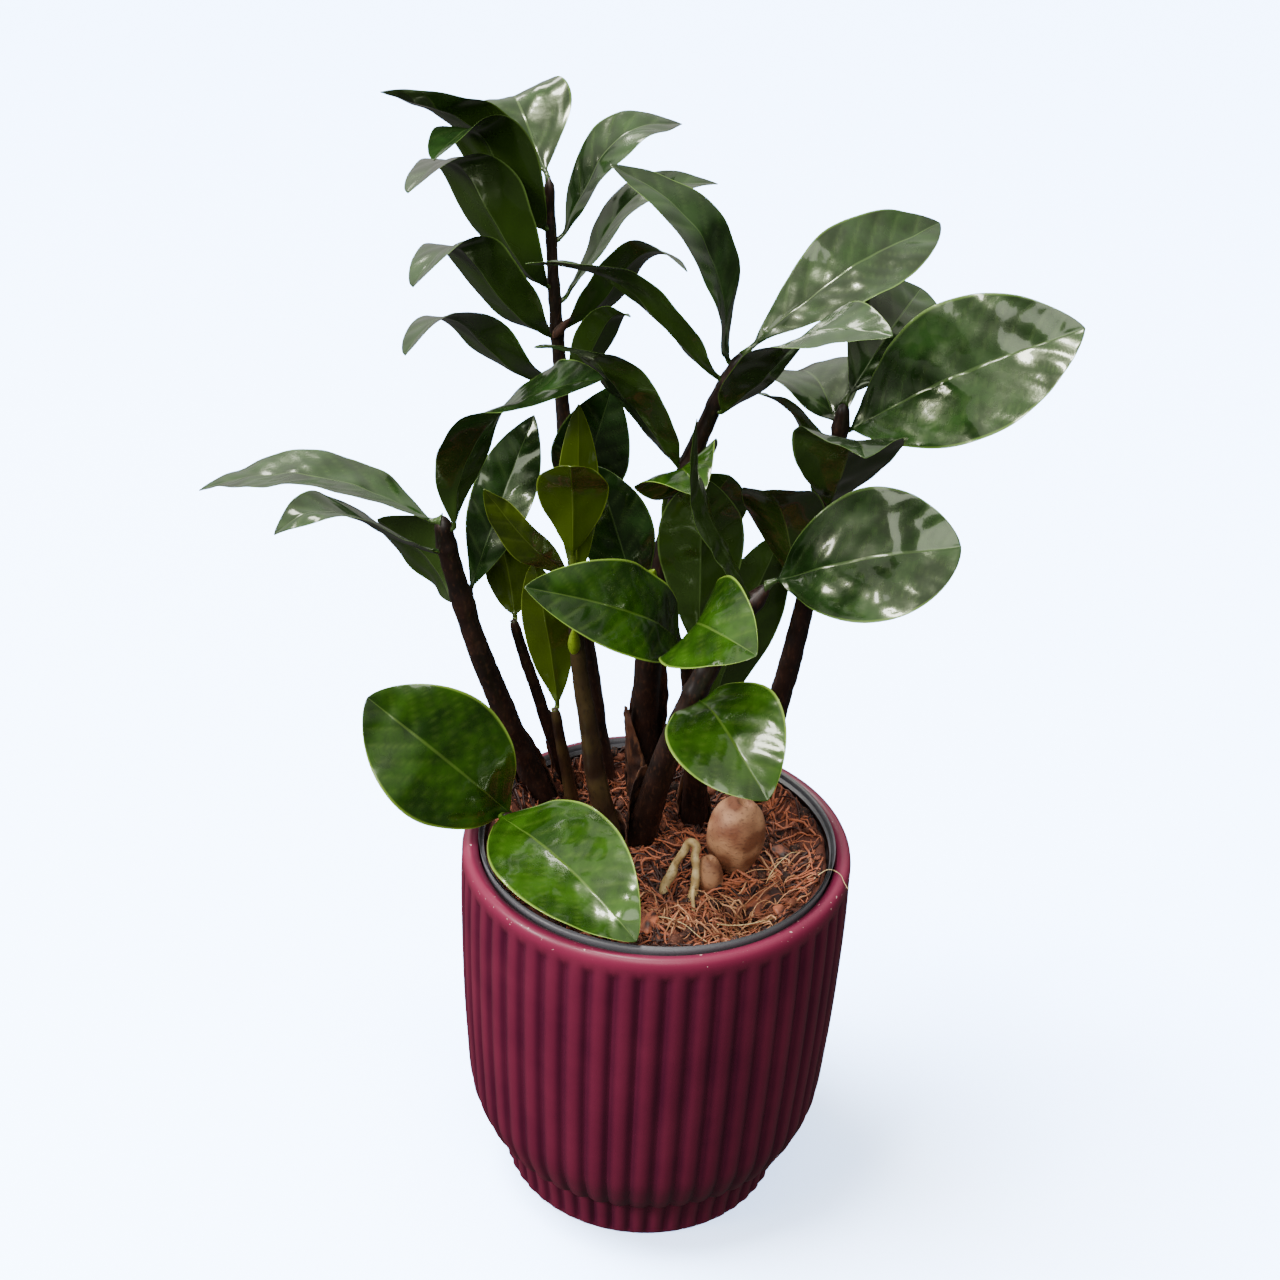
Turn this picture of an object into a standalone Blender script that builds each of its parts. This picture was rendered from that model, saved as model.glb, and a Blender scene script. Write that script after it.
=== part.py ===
"""Potted ZZ plant: ribbed ceramic cover pot, nursery liner, coir soil, stems, tubers and leaves.

Lengths are in millimetres in the constants and become metres in the scene. The origin is the
centre of the pot's flat base, +Z is up and the front of the plant faces -Y. Positions of stems,
tubers and leaves are measured from the centre of the soil surface.
"""

import math
from typing import NamedTuple

import bmesh
import bpy
import numpy as np
from mathutils import Matrix, Vector

MM = 0.001

# Pot: the rim sets the width, the ribs run from the foot to just under the smooth lip.
POT_RADIUS = 70.0
POT_HEIGHT = 144.0
POT_WALL = 6.0
POT_FLOOR = 10.0
FOOT_HEIGHT = 17.0
FOOT_RADIUS = 53.5
FOOT_FLARE = 2.3
LIP_HEIGHT = 5.0
RIB_COUNT = 50
RIB_DEPTH = 1.4
STEPS_PER_RIB = 3

# Nursery liner inside the pot, and the soil inside the liner.
LINER_CLEARANCE = 0.7
LINER_WALL = 1.2
LINER_FLOOR_RADIUS = 45.0
LINER_BELOW_RIM = 2.5
SOIL_BELOW_RIM = 10.0
LATHE_STEPS = 48

# Every gap between neighbouring solids, and how deep the stems are planted.
CLEARANCE = 0.3
POCKET_SWELL = 1.5 * CLEARANCE
PLANTING_DEPTH = 9.0

# Leaf blade. A leaf above CROWN_STATION starts past the end of its stem instead of beside it.
LEAF_THICKNESS = 0.8
LEAF_NECK = 1.8
LEAF_TIP_WIDTH = 1.0
LEAF_OFFSET = 1.1
CROWN_OFFSET = 2.0
CROWN_STATION = 0.985
LEAF_SIZE = 1.0
LEAF_STATIONS = 6
LEAF_COLUMNS = 4

# Stems.
STEM_THICKNESS = 1.0
STEM_SEGMENTS = 8
STEM_SIDES = 2

POT_COLOUR = (0.13, 0.015, 0.035, 1.0)
LINER_COLOUR = (0.012, 0.012, 0.013, 1.0)
SOIL_COLOUR = (0.11, 0.035, 0.018, 1.0)
TUBER_COLOUR = (0.30, 0.16, 0.10, 1.0)
ROOT_COLOUR = (0.55, 0.42, 0.22, 1.0)
STEM_COLOUR = (0.022, 0.012, 0.009, 1.0)
DARK_LEAF = (0.015, 0.060, 0.012, 1.0)
FRESH_LEAF = (0.040, 0.150, 0.012, 1.0)
YOUNG_LEAF = (0.110, 0.160, 0.010, 1.0)

SOIL_TOP = POT_HEIGHT - SOIL_BELOW_RIM


class Stem(NamedTuple):
    """A stem that leaves the soil at foot, passes through middle and ends at crown."""

    foot: tuple
    middle: tuple
    crown: tuple
    foot_radius: float
    crown_radius: float


class Leaf(NamedTuple):
    """A leaf on a stem: station is the share of the stem below it, tip is where it ends.

    arch is how far the midrib rises off the straight line from neck to tip, peak is where along
    the leaf it is highest, and faces gives the bearing and lean from vertical of the upper side.
    belly is where the blade is widest and fullness is smaller for a rounder outline. fold is how
    far each half of the blade is folded up, and twist turns the blade about its midrib.
    """

    stem: str
    station: float
    tip: tuple
    width: float
    arch: float
    peak: float
    faces: tuple
    belly: float = 0.5
    fullness: float = 0.75
    fold: float = 12.0
    twist: float = 0.0


STEMS = {
    "stem_tall": Stem((-21, 50), (-37, 57, 115), (-47, 57, 231), 4.4, 1.6),
    "stem_mid": Stem((-4, 38), (-3, 30, 106), (19, 10, 191), 6.0, 2.2),
    "stem_left": Stem((-43, 33), (-68, 25, 74), (-79, 20, 124), 4.8, 3.2),
    "stem_front": Stem((-15, 0), (-28, 0, 66), (-33, 0, 120), 4.4, 1.8),
    "stem_slim_left": Stem((-34, 44), (-48, 35, 52), (-55, 30, 80), 2.6, 1.8),
    "stem_slim_centre": Stem((-32, 30), (-36, 24, 30), (-39, 20, 50), 2.4, 1.8),
    "stem_arched": Stem((-6, 13), (9, 0, 68), (32, 0, 114), 5.4, 3.0),
    "stem_inner": Stem((14, 25), (11, 20, 42), (7, 13, 80), 4.6, 3.0),
    "stem_right": Stem((34, 41), (47, 32, 82), (53, 18, 173), 5.0, 2.4),
    "stem_low": Stem((-44, 10), (-50, 6, 9), (-56, 0, 16), 2.2, 1.8),
}

LEAVES = {
    "leaf_tall_1": Leaf("stem_tall", 0.975, (-97, 30, 262), 26, 8, 0.5, (60, 60)),
    "leaf_tall_2": Leaf("stem_tall", 0.99, (-62, 92, 247), 36, 8, 0.7, (-90, 45), 0.64),
    "leaf_tall_3": Leaf("stem_tall", 0.93, (-80, 22, 244), 31, 16, 0.72, (80, 35), 0.58, 0.6),
    "leaf_tall_4": Leaf("stem_tall", 0.845, (-88, 20, 234), 31, 18, 0.72, (80, 35), 0.58, 0.6),
    "leaf_tall_5": Leaf("stem_tall", 0.77, (-87, 20, 204), 31, 17, 0.72, (80, 35), 0.58, 0.6),
    "leaf_tall_6": Leaf("stem_tall", 0.69, (-90, 20, 181), 29, 15, 0.72, (80, 35), 0.58, 0.6),
    "leaf_tall_7": Leaf("stem_tall", 0.91, (-4, 75, 246), 22, 13, 0.6, (-90, 12), 0.6),
    "leaf_tall_8": Leaf("stem_tall", 0.82, (9, 70, 228), 19, 14, 0.6, (-90, 8), 0.6),
    "leaf_tall_9": Leaf("stem_tall", 0.78, (0, 40, 207), 21, 12, 0.72, (90, 30)),
    "leaf_tall_10": Leaf("stem_tall", 0.69, (-18, 42, 190), 15, 8, 0.7, (90, 40)),
    "leaf_tall_11": Leaf("stem_tall", 0.5, (-23, 40, 166), 28, 4, 0.5, (-90, 60)),
    "leaf_mid_1": Leaf("stem_mid", 0.97, (-25, 0, 251), 24, 15, 0.55, (-30, 65)),
    "leaf_mid_2": Leaf("stem_mid", 0.99, (80, 40, 227), 31, 7, 0.5, (-90, 32), 0.6),
    "leaf_mid_3": Leaf("stem_mid", 0.93, (-49, -10, 223), 26, 9, 0.6, (90, 17)),
    "leaf_mid_4": Leaf("stem_mid", 0.87, (59, -33, 214), 32, 10, 0.6, (90, 0), twist=-50),
    "leaf_mid_5": Leaf("stem_mid", 0.72, (-46, -10, 197), 26, 9, 0.6, (90, 18)),
    "leaf_mid_6": Leaf("stem_mid", 0.67, (8, -10, 150), 32, 10, 0.65, (150, 35)),
    "leaf_mid_7": Leaf("stem_mid", 0.4, (-27, 25, 143), 26, 4, 0.5, (-90, 60), 0.6),
    "leaf_mid_8": Leaf("stem_mid", 0.47, (18, 32, 139), 31, 4, 0.5, (90, 70), 0.6),
    "leaf_right_1": Leaf("stem_right", 0.95, (122, 0, 208), 47, 8, 0.5, (-90, 50), 0.55),
    "leaf_right_2": Leaf("stem_right", 0.99, (79, 56, 200), 34, 6, 0.5, (-90, 50), 0.6),
    "leaf_right_3": Leaf("stem_right", 0.95, (38, 70, 162), 34, 8, 0.5, (-90, 20)),
    "leaf_right_4": Leaf("stem_right", 0.8, (55, -34, 176), 37, 10, 0.65, (90, 30), 0.58),
    "leaf_right_5": Leaf("stem_right", 0.6, (27, -8, 152), 28, 8, 0.6, (90, 30), 0.6),
    "leaf_right_6": Leaf("stem_right", 0.8, (25, 22, 173), 19, 8, 0.6, (90, 10)),
    "leaf_arched_1": Leaf("stem_arched", 0.99, (91, -15, 139), 45, 8, 0.5, (-90, 50), 0.58, 0.6),
    "leaf_arched_2": Leaf("stem_arched", 0.93, (4, -32, 185), 14, 6, 0.6, (-160, 40)),
    "leaf_left_1": Leaf("stem_left", 0.98, (-162, 25, 127), 32, 11, 0.5, (0, 0), 0.5),
    "leaf_left_2": Leaf("stem_left", 0.86, (-127, -20, 134), 26, 10, 0.7, (0, 0), 0.55),
    "leaf_left_3": Leaf("stem_left", 0.95, (-25, 0, 184), 36, 17, 0.45, (90, 8), 0.54, 0.8, twist=-60),
    "leaf_left_4": Leaf("stem_left", 0.62, (-104, 40, 112), 30, 5, 0.5, (90, 60)),
    "leaf_left_5": Leaf("stem_left", 0.66, (-50, 50, 150), 22, 5, 0.5, (-90, 60), 0.55, 0.8),
    "leaf_young_1": Leaf("stem_front", 0.99, (-34, -12, 159), 24, 4, 0.5, (90, 75), 0.6, 0.6),
    "leaf_young_2": Leaf("stem_front", 0.9, (-33, 10, 171), 14, 3, 0.5, (90, 60)),
    "leaf_young_3": Leaf("stem_front", 0.96, (-61, -15, 151), 14, 4, 0.5, (-120, 60)),
    "leaf_young_4": Leaf("stem_slim_left", 0.98, (-60, 35, 107), 18, 3, 0.5, (90, 70)),
    "leaf_young_5": Leaf("stem_slim_centre", 0.98, (-47, 16, 110), 18, 4, 0.5, (90, 70)),
    "leaf_front_1": Leaf("stem_inner", 0.99, (-46, -38, 129), 32, 12, 0.5, (-90, 48), 0.55),
    "leaf_front_2": Leaf("stem_arched", 0.72, (26, -56, 119), 36, 16, 0.5, (-160, 45), 0.6),
    "leaf_front_3": Leaf("stem_arched", 0.53, (34, -50, 62), 40, 12, 0.45, (-90, 50), 0.52),
    "leaf_inner_1": Leaf("stem_inner", 0.93, (8, 4, 150), 30, 4, 0.5, (90, 70), 0.6),
    "leaf_inner_2": Leaf("stem_inner", 0.5, (38, 36, 116), 28, 3, 0.5, (90, 75), 0.55),
    "leaf_low_1": Leaf("stem_low", 0.75, (-102, -5, 66), 48, 8, 0.5, (-90, 50), 0.55, 0.65),
    "leaf_low_2": Leaf("stem_low", 0.99, (-6, -66, 15), 43, 10, 0.5, (-90, 30)),
}

# Storage tubers that stand out of the soil: centre, half sizes and lean in degrees.
TUBERS = {
    "tuber_large": ((28, -1, 12), (10.5, 10.0, 16.5), 4),
    "tuber_small": ((19, -15, 4), (5.0, 5.5, 9.0), -6),
}

# A pale root that arches out of the soil in front of the small tuber.
ROOT = Stem((3, -17), (13, -13, 17), (12, -29, -6), 1.6, 1.4)

YOUNG = ("leaf_young_1", "leaf_young_2", "leaf_young_3", "leaf_young_4", "leaf_young_5")
FRESH = ("leaf_low_1", "leaf_low_2", "leaf_front_1", "leaf_front_2", "leaf_front_3", "leaf_mid_6")


def unit(vector):
    """Return the vector at length one."""
    return vector / np.linalg.norm(vector)


def stem_frame(stem):
    """Return the start, control point and end of a stem's curve above the soil."""
    start = np.array((*stem.foot, 0.0))
    middle = np.array(stem.middle, float)
    end = np.array(stem.crown, float)
    return start, 2.0 * middle - (start + end) / 2.0, end


def stem_point(stem, share):
    """Return the point, direction and radius at a share of the way up a stem."""
    start, bend, end = stem_frame(stem)
    point = (1 - share) ** 2 * start + 2 * share * (1 - share) * bend + share**2 * end
    heading = unit((1 - share) * (bend - start) + share * (end - bend))
    radius = stem.foot_radius + (stem.crown_radius - stem.foot_radius) * share
    return point, heading, radius * STEM_THICKNESS


def leaf_neck(leaf):
    """Return where a leaf starts: beside its stem, or just past the end of it."""
    point, heading, radius = stem_point(STEMS[leaf.stem], leaf.station)
    reach = np.array(leaf.tip, float) - point
    if leaf.station > CROWN_STATION:
        return point + unit(heading + unit(reach)) * (radius + CROWN_OFFSET)
    sideways = reach - (reach @ heading) * heading
    return point + unit(sideways) * (radius + LEAF_OFFSET)


def blade_surface(leaf, along, across):
    """Return points on a leaf's middle surface, along 0 to 1 and across -1 to 1."""
    neck = leaf_neck(leaf)
    chord = (np.array(leaf.tip, float) - neck) * LEAF_SIZE
    bearing, lean = (math.radians(angle) for angle in leaf.faces)
    level = math.sin(lean)
    upward = np.array((level * math.cos(bearing), level * math.sin(bearing), math.cos(lean)))
    forward = unit(chord)
    upper = unit(upward - (upward @ forward) * forward)
    power = math.log(0.5) / math.log(leaf.peak)
    phase = math.pi * along**power
    rise = leaf.arch * LEAF_SIZE * math.sin(phase)
    slope = 0.0
    if along > 0.0:
        slope = leaf.arch * LEAF_SIZE * math.cos(phase) * power * phase / along
    tangent = unit(chord + slope * upper)
    normal = unit(upper - (upper @ tangent) * tangent)
    side = np.cross(normal, tangent)
    turn = math.radians(leaf.twist) * (along - 0.4)
    normal, side = (
        math.cos(turn) * normal + math.sin(turn) * side,
        math.cos(turn) * side - math.sin(turn) * normal,
    )
    swell = math.sin(math.pi * along ** (math.log(0.5) / math.log(leaf.belly)))
    least = LEAF_NECK + (LEAF_TIP_WIDTH - LEAF_NECK) * along
    half_width = max(leaf.width * LEAF_SIZE * max(swell, 0.0) ** leaf.fullness, least) / 2
    fold = math.radians(leaf.fold)
    lift = (math.sqrt(across**2 + 0.01) - 0.1) * math.sin(fold)
    spread = across * math.cos(fold) * side + lift * normal
    return neck + along * chord + rise * upper + half_width * spread


def material(name, colour, roughness):
    """Return a new material with one Principled shader."""
    made = bpy.data.materials.new(name)
    made.use_nodes = True
    shader = made.node_tree.nodes["Principled BSDF"]
    shader.inputs["Base Color"].default_value = colour
    shader.inputs["Roughness"].default_value = roughness
    made.diffuse_color = colour
    return made


def place(obj, collection, colour=None, roughness=0.5):
    """Link an object into a collection and give it a material of its own."""
    collection.objects.link(obj)
    if colour is not None:
        obj.data.materials.clear()
        obj.data.materials.append(material(obj.name, colour, roughness))
    return obj


def mesh_object(name, bm):
    """Turn a bmesh into an object with outward faces."""
    bmesh.ops.recalc_face_normals(bm, faces=bm.faces)
    mesh = bpy.data.meshes.new(name)
    bm.to_mesh(mesh)
    bm.free()
    return bpy.data.objects.new(name, mesh)


def lathe(name, profile, steps):
    """Return a solid turned from (radius, height) points that start and end on the axis."""
    bm = bmesh.new()
    points = [bm.verts.new((radius * MM, 0.0, height * MM)) for radius, height in profile]
    edges = [bm.edges.new(pair) for pair in zip(points, points[1:])]
    bmesh.ops.spin(bm, geom=points + edges, axis=(0, 0, 1), cent=(0, 0, 0), angle=math.tau, steps=steps)
    bmesh.ops.remove_doubles(bm, verts=bm.verts, dist=0.00001)
    return mesh_object(name, bm)


def cut(obj, cutters):
    """Subtract every solid of a collection from an object and keep the result as its mesh."""
    modifier = obj.modifiers.new("cut", "BOOLEAN")
    modifier.operation = "DIFFERENCE"
    modifier.solver = "EXACT"
    modifier.operand_type = "COLLECTION"
    modifier.collection = cutters
    return obj


def hide(cutter):
    """Keep a cutting solid out of the finished part."""
    cutter.hide_render = True
    cutter.display_type = "WIRE"
    return cutter


def pot_profile():
    """Return the outside of the cover pot from the axis at the base to the axis at the rim."""
    rib_top = POT_HEIGHT - LIP_HEIGHT
    body = rib_top - FOOT_HEIGHT
    return [
        (0.0, 0.0),
        (FOOT_RADIUS, 0.0),
        (FOOT_RADIUS + FOOT_FLARE, FOOT_HEIGHT - 1.5),
        (FOOT_RADIUS + FOOT_FLARE + 2.2, FOOT_HEIGHT + 1.0),
        (POT_RADIUS - 9.0, FOOT_HEIGHT + 0.04 * body),
        (POT_RADIUS - 5.3, FOOT_HEIGHT + 0.11 * body),
        (POT_RADIUS - 2.6, FOOT_HEIGHT + 0.20 * body),
        (POT_RADIUS - 0.7, FOOT_HEIGHT + 0.42 * body),
        (POT_RADIUS + 0.4, FOOT_HEIGHT + 0.78 * body),
        (POT_RADIUS, rib_top),
        (POT_RADIUS - 0.1, rib_top + 1.0),
        (POT_RADIUS - 0.1, POT_HEIGHT - 1.8),
        (POT_RADIUS - 1.5, POT_HEIGHT),
        (0.0, POT_HEIGHT),
    ]


def cavity_profile():
    """Return the inside of the cover pot, which runs past the rim as a cutter."""
    inner = POT_RADIUS - POT_WALL
    return [
        (0.0, POT_FLOOR),
        (FOOT_RADIUS - POT_WALL - 1.0, POT_FLOOR),
        (FOOT_RADIUS - POT_WALL, FOOT_HEIGHT + 2.0),
        (inner - 9.0, FOOT_HEIGHT + 10.0),
        (inner - 3.5, FOOT_HEIGHT + 24.0),
        (inner - 1.2, FOOT_HEIGHT + 50.0),
        (inner, POT_HEIGHT - 30.0),
        (inner, POT_HEIGHT - 2.0),
        (inner + 2.4, POT_HEIGHT + 1.0),
        (0.0, POT_HEIGHT + 1.0),
    ]


def liner_edge(height):
    """Return the outer radius of the tapered liner at a height."""
    top = POT_RADIUS - POT_WALL - LINER_CLEARANCE
    low = POT_FLOOR + CLEARANCE
    high = POT_HEIGHT - LINER_BELOW_RIM
    return LINER_FLOOR_RADIUS + (top - LINER_FLOOR_RADIUS) * (height - low) / (high - low)


def build_pot(parts, cutters):
    """Build the ribbed cover pot with its cavity."""
    pot = lathe("outer_pot", pot_profile(), RIB_COUNT * STEPS_PER_RIB)
    rib_top = (POT_HEIGHT - LIP_HEIGHT + 0.5) * MM
    for vertex in pot.data.vertices:
        radius = math.hypot(vertex.co.x, vertex.co.y)
        ribs_round = math.atan2(vertex.co.y, vertex.co.x) / math.tau * RIB_COUNT
        in_groove = abs(ribs_round - round(ribs_round)) < 0.5 / STEPS_PER_RIB
        if in_groove and radius > RIB_DEPTH * MM and vertex.co.z < rib_top:
            vertex.co.x *= 1 - RIB_DEPTH * MM / radius
            vertex.co.y *= 1 - RIB_DEPTH * MM / radius
    place(hide(lathe("pot_cavity", cavity_profile(), LATHE_STEPS)), cutters)
    return place(cut(pot, cutters), parts, POT_COLOUR, 0.3)


def build_liner(parts):
    """Build the thin tapered nursery liner that stands inside the pot."""
    low = POT_FLOOR + CLEARANCE
    high = POT_HEIGHT - LINER_BELOW_RIM
    profile = [
        (0.0, low),
        (liner_edge(low), low),
        (liner_edge(high), high),
        (liner_edge(high) - LINER_WALL, high),
        (liner_edge(low + LINER_WALL) - LINER_WALL, low + LINER_WALL),
        (0.0, low + LINER_WALL),
    ]
    return place(lathe("nursery_liner", profile, LATHE_STEPS), parts, LINER_COLOUR, 0.5)


def build_soil(parts, cutters):
    """Build the soil, with a pocket for every stem, tuber and root that stands in it."""
    low = POT_FLOOR + CLEARANCE * 2 + LINER_WALL
    inset = LINER_WALL + CLEARANCE
    profile = [
        (0.0, low),
        (liner_edge(low) - inset, low),
        (liner_edge(SOIL_TOP) - inset, SOIL_TOP),
        (0.0, SOIL_TOP),
    ]
    return place(cut(lathe("soil", profile, LATHE_STEPS), cutters), parts, SOIL_COLOUR, 0.9)


def build_stem(name, stem, swell=0.0):
    """Build a stem as a tapered curve planted in the soil; swell makes its pocket."""
    start, bend, end = stem_frame(stem)
    root = start - unit(bend - start) * (PLANTING_DEPTH + swell)
    end = end + unit(end - bend) * swell
    lift = np.array((0.0, 0.0, SOIL_TOP))
    curve = bpy.data.curves.new(name, "CURVE")
    curve.dimensions = "3D"
    curve.bevel_depth = MM
    curve.bevel_resolution = STEM_SIDES
    curve.resolution_u = STEM_SEGMENTS
    curve.use_fill_caps = True
    spline = curve.splines.new("BEZIER")
    spline.bezier_points.add(1)
    handle = start + (bend - start) * 2 / 3
    low, high = spline.bezier_points
    low.co = Vector((root + lift) * MM)
    low.handle_right = Vector((handle + lift) * MM)
    low.handle_left = low.co * 2 - low.handle_right
    high.co = Vector((end + lift) * MM)
    high.handle_left = Vector((end + (bend - end) * 2 / 3 + lift) * MM)
    high.handle_right = high.co * 2 - high.handle_left
    low.radius = stem.foot_radius * STEM_THICKNESS + swell
    high.radius = stem.crown_radius * STEM_THICKNESS + swell
    shape = bpy.data.objects.new(name, curve)
    bm = bmesh.new()
    bm.from_mesh(shape.to_mesh())
    shape.to_mesh_clear()
    bpy.data.objects.remove(shape)
    bpy.data.curves.remove(curve)
    bmesh.ops.remove_doubles(bm, verts=bm.verts, dist=0.00001)
    return mesh_object(name, bm)


def build_leaf(name, leaf, parts):
    """Build a leaf as a bent grid with an even thickness."""
    bm = bmesh.new()
    bmesh.ops.create_grid(bm, x_segments=LEAF_STATIONS, y_segments=LEAF_COLUMNS, size=1.0)
    lift = np.array((0.0, 0.0, SOIL_TOP))
    for vertex in bm.verts:
        along = (vertex.co.x + 1.0) / 2.0
        vertex.co = Vector((blade_surface(leaf, along, vertex.co.y) + lift) * MM)
    blade = mesh_object(name, bm)
    shell = blade.modifiers.new("thickness", "SOLIDIFY")
    shell.thickness = LEAF_THICKNESS * MM
    shell.offset = 0.0
    colour = DARK_LEAF
    if name in YOUNG:
        colour = YOUNG_LEAF
    if name in FRESH:
        colour = FRESH_LEAF
    return place(blade, parts, colour, 0.25)


def build_tuber(name, centre, half_sizes, lean, swell=0.0):
    """Build a tuber as a leaning egg-shaped solid; swell makes its pocket."""
    bm = bmesh.new()
    bmesh.ops.create_uvsphere(bm, u_segments=14, v_segments=9, radius=1.0)
    sizes = [(size + swell) * MM for size in half_sizes]
    turn = Matrix.Rotation(math.radians(lean), 4, "Y")
    spot = Matrix.Translation(Vector((centre[0], centre[1], centre[2] + SOIL_TOP)) * MM)
    bmesh.ops.transform(bm, matrix=spot @ turn @ Matrix.Diagonal((*sizes, 1.0)), verts=bm.verts)
    return mesh_object(name, bm)


def main():
    """Clear the scene and build every piece of the potted plant."""
    for old in list(bpy.data.objects):
        bpy.data.objects.remove(old)
    parts = bpy.data.collections.new("potted_zz_plant")
    pot_cutters = bpy.data.collections.new("pot_cutters")
    soil_cutters = bpy.data.collections.new("soil_cutters")
    for collection in (parts, pot_cutters, soil_cutters):
        bpy.context.scene.collection.children.link(collection)
    build_pot(parts, pot_cutters)
    build_liner(parts)
    for name, stem in STEMS.items():
        place(build_stem(name, stem), parts, STEM_COLOUR, 0.5)
        place(hide(build_stem(name + "_pocket", stem, CLEARANCE)), soil_cutters)
    for name, (centre, half_sizes, lean) in TUBERS.items():
        place(build_tuber(name, centre, half_sizes, lean), parts, TUBER_COLOUR, 0.7)
        place(hide(build_tuber(name + "_pocket", centre, half_sizes, lean, POCKET_SWELL)), soil_cutters)
    place(build_stem("surface_root", ROOT), parts, ROOT_COLOUR, 0.7)
    place(hide(build_stem("surface_root_pocket", ROOT, CLEARANCE)), soil_cutters)
    build_soil(parts, soil_cutters)
    for name, leaf in LEAVES.items():
        build_leaf(name, leaf, parts)


main()
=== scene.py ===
"""Looks for a potted ZZ plant: glazed cover pot, nursery liner, coir, tubers, shoots and leaves.

The tables and sizes are in millimetres and become metres when a mesh is made. Plant positions are
measured from the centre of the soil surface, +Z is up and the front of the plant faces -Y. Every
shape is a stack of closed rings worked out as whole arrays, then skinned and closed at its poles.
"""

import logging
import math
from dataclasses import dataclass
from enum import Enum
from typing import Any, NamedTuple

import bpy
import numpy as np
from mathutils import Matrix, Vector


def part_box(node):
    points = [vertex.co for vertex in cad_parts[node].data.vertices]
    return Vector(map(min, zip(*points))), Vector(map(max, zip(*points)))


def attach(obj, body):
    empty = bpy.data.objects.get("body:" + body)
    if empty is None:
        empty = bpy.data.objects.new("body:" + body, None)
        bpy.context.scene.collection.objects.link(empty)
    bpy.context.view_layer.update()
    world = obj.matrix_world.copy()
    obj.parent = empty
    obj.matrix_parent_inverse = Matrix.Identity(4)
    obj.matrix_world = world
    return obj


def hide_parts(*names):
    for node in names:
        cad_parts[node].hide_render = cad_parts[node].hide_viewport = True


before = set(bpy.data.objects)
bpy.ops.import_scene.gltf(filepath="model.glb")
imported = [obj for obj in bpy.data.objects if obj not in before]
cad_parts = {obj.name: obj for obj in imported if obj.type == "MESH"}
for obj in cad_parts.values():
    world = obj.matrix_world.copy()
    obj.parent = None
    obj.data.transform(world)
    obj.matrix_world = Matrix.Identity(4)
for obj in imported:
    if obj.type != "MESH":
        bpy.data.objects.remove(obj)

LOG = logging.getLogger("potted_zz_plant")
MM = 0.001
Array = np.ndarray
Point = tuple[float, float, float]

POT_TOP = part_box("outer_pot")[1].z / MM
POT_RADIUS = 70.0
RIBS = 50
SOIL_BELOW_LINER = 7.5
SOIL_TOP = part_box("nursery_liner")[1].z / MM - SOIL_BELOW_LINER
LINER_RADIUS = (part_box("nursery_liner")[1].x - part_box("nursery_liner")[0].x) / 2 / MM
LINER_WALL = 1.2


class Age(Enum):
    """How old a leaf is; the value names a material slot, and WAXY gives each age its finish."""

    MATURE = "dark_leaf"
    FRESH = "fresh_leaf"
    YOUNG = "young_leaf"


class Bark(Enum):
    """The colour family of a stem's skin."""

    DARK = "dark"
    OLIVE = "olive"


class Stem(NamedTuple):
    """A stem that leaves the soil at foot, passes through middle and ends at crown."""

    foot: tuple[float, float]
    middle: Point
    crown: Point
    foot_radius: float
    crown_radius: float
    bark: Bark = Bark.DARK


class Leaf(NamedTuple):
    """A leaf on a stem, with the same values as the solid it stands for.

    station is the share of the stem below it, arch how far the midrib rises off the straight line
    from neck to tip, peak where along the leaf it is highest, and faces the bearing and lean of
    its upper side. belly is where it is widest and fullness is smaller for a rounder outline.
    """

    stem: str
    station: float
    tip: Point
    width: float
    arch: float
    peak: float
    faces: tuple[float, float]
    belly: float = 0.5
    fullness: float = 0.75
    fold: float = 12.0
    twist: float = 0.0
    age: Age = Age.MATURE


STEMS = {
    "tall": Stem((-21, 50), (-37, 57, 115), (-47, 57, 231), 4.4, 1.6),
    "mid": Stem((-4, 38), (-3, 30, 106), (19, 10, 191), 6.0, 2.2),
    "left": Stem((-43, 33), (-68, 25, 74), (-79, 20, 124), 4.8, 3.2),
    "front": Stem((-15, 0), (-28, 0, 66), (-33, 0, 120), 4.4, 1.8, Bark.OLIVE),
    "slim_left": Stem((-34, 44), (-48, 35, 52), (-55, 30, 80), 2.6, 1.8),
    "slim_centre": Stem((-32, 30), (-36, 24, 30), (-39, 20, 50), 2.4, 1.8, Bark.OLIVE),
    "arched": Stem((-6, 13), (9, 0, 68), (32, 0, 114), 5.4, 3.0),
    "inner": Stem((14, 25), (11, 20, 42), (7, 13, 80), 4.6, 3.0),
    "right": Stem((34, 41), (47, 32, 82), (53, 18, 173), 5.0, 2.4),
    "low": Stem((-44, 10), (-50, 6, 9), (-56, 0, 16), 2.2, 1.8),
}

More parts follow.
